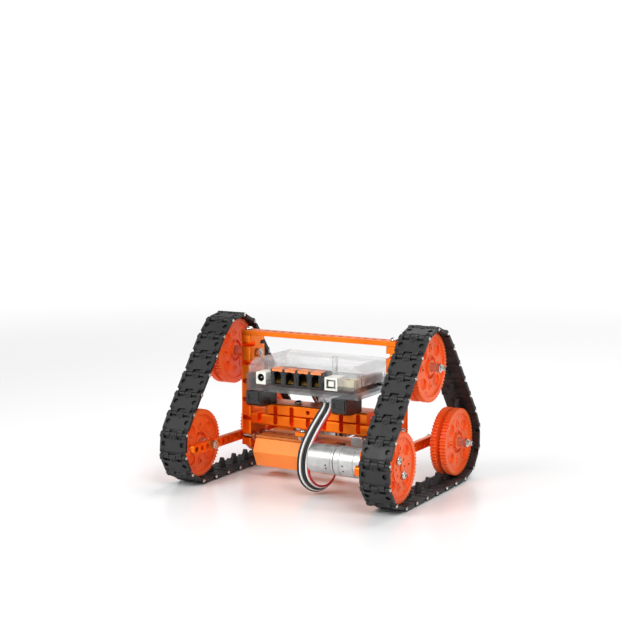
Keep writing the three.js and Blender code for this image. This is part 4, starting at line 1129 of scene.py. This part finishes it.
def makeJack():
    f = jackFacts
    x, mid = f["middle"]
    outline = roundRectangle((x - f["half"], f["low"]), (x + f["half"], f["high"]), 0.8, 4)
    body = prism(outline, f["floor"], f["front"], [circle(f["hole"], 32, (x, mid))])
    back = prism(outline, f["back"], f["floor"] + 0.1)
    ring = turned([(f["hole"], 0), (f["collar"], 0), (f["collar"], 0.35), (f["hole"], 0.35)], 32, True)
    collar = moved(ring, sideways((x, -35.3, mid)))
    build("power_jack", joined([moved(body, sideways()), moved(back, sideways()), collar]), whitePlastic,
          0.2)
    lining = turned([(3.28, 0.3), (3.28, 8.6), (2.9, 8.6), (2.9, 0.5), (0.3, 0.4), (0.3, 0.3)], 28)
    build("power_jack_lining", moved(lining, sideways((x, -26.4, mid))), blackEpoxyAndSlotShade, 0)
    pin = turned([(0.2, 0), (0.9, 0), (0.9, 7.4), (0.5, 7.9), (0.2, 7.9)], 16)
    build("power_jack_pin", moved(pin, sideways((x, -26.6, mid))), zincSteel, 0)


def pinStrip(low, high, rows, pitch, tall):
    # rows of square pins
    shapes = []
    count = int((high[0] - low[0]) / pitch)
    for i in range(count):
        for k in range(rows):
            x, y = low[0] + (i + 0.5) * pitch, low[1] + (k + 0.5) * pitch
            shapes.append(box((x - 0.32, y - 0.32, low[2]), (x + 0.32, y + 0.32, tall)))
    return shapes


boardFacts = {
    "inset": 5, "posts": [(-42, -24), (42, -24), (-42, 18), (42, 18)],
    "chips": [((-30, -8), (-14, 8), 2.4), ((16, 2), (30, 16), 2), ((-8, -16), (-1, -9), 1.6),
              ((4, -14), (12, -8), 1.4)],  # low corner, high corner and height
    "button": (8, 6), "capacitor": (-4, 18), "pinPitch": 2.54,
}


def smallPart(x, y, top):
    # a dark body and its two bright ends
    ends = [box((x - 0.3, y, top), (x, y + 1, top + 0.65)),
            box((x + 1.8, y, top), (x + 2.1, y + 1, top + 0.65))]
    return box((x, y, top), (x + 1.8, y + 1, top + 0.6)), ends


def makeBoard():
    f = caseFacts
    inset, pitch = boardFacts["inset"], boardFacts["pinPitch"]
    low, high = (-f["half"] + inset, f["front"] + inset), (f["half"] - inset, f["back"] - inset)
    outline = roundRectangle(low, high, 2)
    plate = prism(outline, f["boardLow"], f["boardTop"], [circle(1.6, 16, p) for p in boardFacts["posts"]])
    build("circuit_plate", plate, boardMask, 0.15, ["controller_board"])
    top = f["boardTop"]
    dark, bright, cream, white = [], [], [], []
    for low, high, tall in boardFacts["chips"]:
        dark.append(box((*low, top + 0.2), (*high, top + tall)))
        count = int((high[0] - low[0]) / 1.3)
        for i in range(count):
            x = low[0] + (i + 0.5) * (high[0] - low[0]) / count
            for edge, out in ((low[1], -1), (high[1], 1)):
                y0, y1 = sorted((edge, edge + out * 1.1))
                bright.append(box((x - 0.3, y0, top), (x + 0.3, y1, top + 0.5)))
    frontRow = [(-44 + i * 5.1, -18.6 + (i % 3) * 1.2) for i in range(18)]
    backRow = [(-36 + i * 5.3, 20.4 + (i % 2) * 1.6) for i in range(14)]
    for x, y in [p for p in frontRow if not -34 < p[0] < 22] + backRow:
        body, ends = smallPart(x, y, top)
        dark.append(body)
        bright += ends
    # a brown socket strip along the right end, with a cream pin header in front of it
    brown = prism(rectangle((39, -12), (44.6, 22)), top, top + 8.6,
                  [rectangle((40.4, y), (43.2, y + 1.4)) for y in [-10.8 + pitch * i for i in range(12)]])
    build("board_socket_strip", brown, brownPlastic, 0.15)
    cream.append(prism(rectangle((33, -27), (44, -15)), top, top + 8.6, [rectangle((34, -26), (43, -16))]))
    cream.append(box((33.5, -26.5, top), (43.5, -15.5, top + 2)))
    bright += pinStrip((34.4, -25.6, top + 2), (43, -16, 0), 3, pitch, top + 7.4)
    cream.append(box((-44, -6, top), (-36, 20, top + 2.4)))
    bright += pinStrip((-43.8, -5.6, top + 2), (-36, 20, 0), 10, pitch, top + 8)
    can = turned([(3.9, top), (4, top + 0.3), (4, top + 5.4), (3.6, top + 6), (3, top + 5.8)], 32)
    bright.append(moved(can, Matrix.Translation((*boardFacts["capacitor"], 0))))
    x, y = boardFacts["button"]
    bright.append(box((x - 3.1, y - 3.1, top), (x + 3.1, y + 3.1, top + 1.8)))
    dark.append(moved(turned([(1.7, top + 1.7), (1.7, top + 2.6)], 20), Matrix.Translation((x, y, 0))))
    for i in range(4):
        white.append(box((-9.2 + 5 * i, -5, top), (-7.6 + 5 * i, -4.2, top + 0.8)))
    build("board_chips", joined(dark), blackEpoxyAndSlotShade, 0)
    build("board_metal", joined(bright), zincSteel, 0)
    build("board_headers", joined(cream), creamPlastic, 0.15)
    build("board_lamps", joined(white), whitePlastic, 0)


def makeCase():
    f = caseFacts
    refined("controller_tray", greyTray, 0.5)
    refined("controller_cover", clearCover, 0.8)
    ribs = []
    wall, edge, top = f["half"], f["top"] - f["chamfer"], f["top"]
    low, slope = f["coverLow"] + 1.5, wall - f["slope"]
    run = [(wall - 0.1, low), (wall + 0.6, low), (wall + 0.6, edge), (wall + 0.35, edge + 1),
           (slope + 0.5, top - 0.1), (slope - 1, top + 0.3), (slope - 1, top - 0.3),
           (slope + 0.1, top - 0.5), (wall - 0.1, edge)]
    y = f["front"] + 4
    while y < f["back"] - 4:
        for side in (1, -1):
            stand = Matrix(((side, 0, 0, 0), (0, 0, -1, y), (0, 1, 0, 0), (0, 0, 0, 1)))
            ribs.append(moved(prism(run, -f["ribHalf"], f["ribHalf"]), stand))
        y += f["ribStep"]
    count = 24
    for i in range(count):  # a toothed edge low on the cover
        y = f["front"] + 3 + i * (f["back"] - f["front"] - 6) / count
        for side in (1, -1):
            x0, x1 = sorted((side * (wall - 0.1), side * (wall + 0.5)))
            ribs.append(box((x0, y, f["coverLow"] + 0.05), (x1, y + 1.3, f["coverLow"] + 1.3)))
    build("cover_ribs", joined(ribs), clearRib, 0.1)
    lug = prism(roundRectangle((-53.6, -36.8), (-46.2, -29), 1), 80, 94.5, [circle(1.6, 20, (-49.8, -32.8))])
    fins = [box((x, f["front"] + 3, f["low"] - 0.25), (x + 1.3, f["back"] - 3, f["low"] + 0.05))
            for x in [-38 + 3 * i for i in range(21)]]
    build("tray_lug", joined([lug, *fins]), greyTray, 0.25)
    refined("power_switch", blackGloss, 0.15)
    refined("reset_button", clearRib, 0.3)
    for side in ("left", "right"):
        refined(f"foot_{side}", blackFoot, 0.5)
        low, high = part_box(f"foot_{side}")
        x0, x1, y0 = low.x / mm, high.x / mm, low.y / mm
        pad = prism(roundRectangle((x0 + 1.2, 69.6), (x1 - 1.2, 78.4), 0.8), -y0 - 0.1, -y0 + 0.7,
                    [roundRectangle((x0 + 3, 71.4), (x1 - 3, 76.6), 0.6)])
        build(f"foot_pad_{side}", moved(pad, sideways()), blackFoot, 0.2)


makePorts()
makeUsb()
makeJack()
makeBoard()
makeCase()
print("controller made")


studio = {
    "floorHalf": 6.0, "fadeFrom": 0.4, "fadeTo": 1.5, "backdrop": 1.02, "overhead": 0.3,
    "lamps": [  # place, aimed at, size and power
        ((-0.35, -1.0, 0.8), (0, 0, 0.06), 0.6, 9.5), ((0.7, -0.6, 1.2), (0, 0, 0.05), 0.6, 8),
        ((0.0, 0.7, 1.1), (0, 0, 0.06), 0.8, 10)],
}


def makeStudio():
    scene = bpy.context.scene
    scene.view_settings.view_transform = "Standard"
    world = bpy.data.worlds.new("studio")
    scene.world = world
    world.use_nodes = True
    tree = world.node_tree
    # a white backdrop all round, dimmer overhead
    spot = addNode(tree, "ShaderNodeTexCoord").outputs["Generated"]
    height = addNode(tree, "ShaderNodeSeparateXYZ", links={"Vector": spot})
    dim = addNode(tree, "ShaderNodeMapRange",
                  {"From Min": 0.12, "From Max": 0.35, "To Min": studio["backdrop"],
                   "To Max": studio["overhead"]},
                  {"Value": height.outputs["Z"]})
    sky = tree.nodes["Background"]
    sky.inputs["Color"].default_value = (1, 1, 1, 1)
    tree.links.new(dim.outputs[0], sky.inputs["Strength"])
    bpy.ops.mesh.primitive_plane_add(size=2 * studio["floorHalf"], location=(0, 0, -0.0003))
    floor = bpy.context.object
    floor.name = "floor"
    # white laminate: a faint reflection near the robot, melting into the backdrop farther out
    material = bpy.data.materials.new("floor_white")
    material.use_nodes = True
    tree = material.node_tree
    tree.nodes.clear()
    spot = addNode(tree, "ShaderNodeTexCoord").outputs["Object"]
    far = addNode(tree, "ShaderNodeVectorMath", {"operation": "LENGTH"}, {0: spot})
    fade = addNode(tree, "ShaderNodeMapRange",
                   {"From Min": studio["fadeFrom"], "From Max": studio["fadeTo"],
                    "interpolation_type": "SMOOTHSTEP"}, {"Value": far.outputs["Value"]})
    near = addNode(tree, "ShaderNodeBsdfPrincipled", {"Base Color": (0.9, 0.9, 0.9, 1), "Roughness": 0.25})
    glow = addNode(tree, "ShaderNodeEmission", {"Color": (1, 1, 1, 1), "Strength": studio["backdrop"]})
    mix = addNode(tree, "ShaderNodeMixShader", {},
                  {0: fade.outputs[0], 1: near.outputs[0], 2: glow.outputs[0]})
    addNode(tree, "ShaderNodeOutputMaterial", links={"Surface": mix.outputs[0]})
    floor.data.materials.append(material)
    for place, aim, size, power in studio["lamps"]:
        data = bpy.data.lights.new("lamp", "AREA")
        data.size, data.energy = size, power
        lamp = bpy.data.objects.new("lamp", data)
        lamp.location = place
        lamp.rotation_euler = (Vector(aim) - Vector(place)).to_track_quat("-Z", "Y").to_euler()
        bpy.context.collection.objects.link(lamp)


makeStudio()
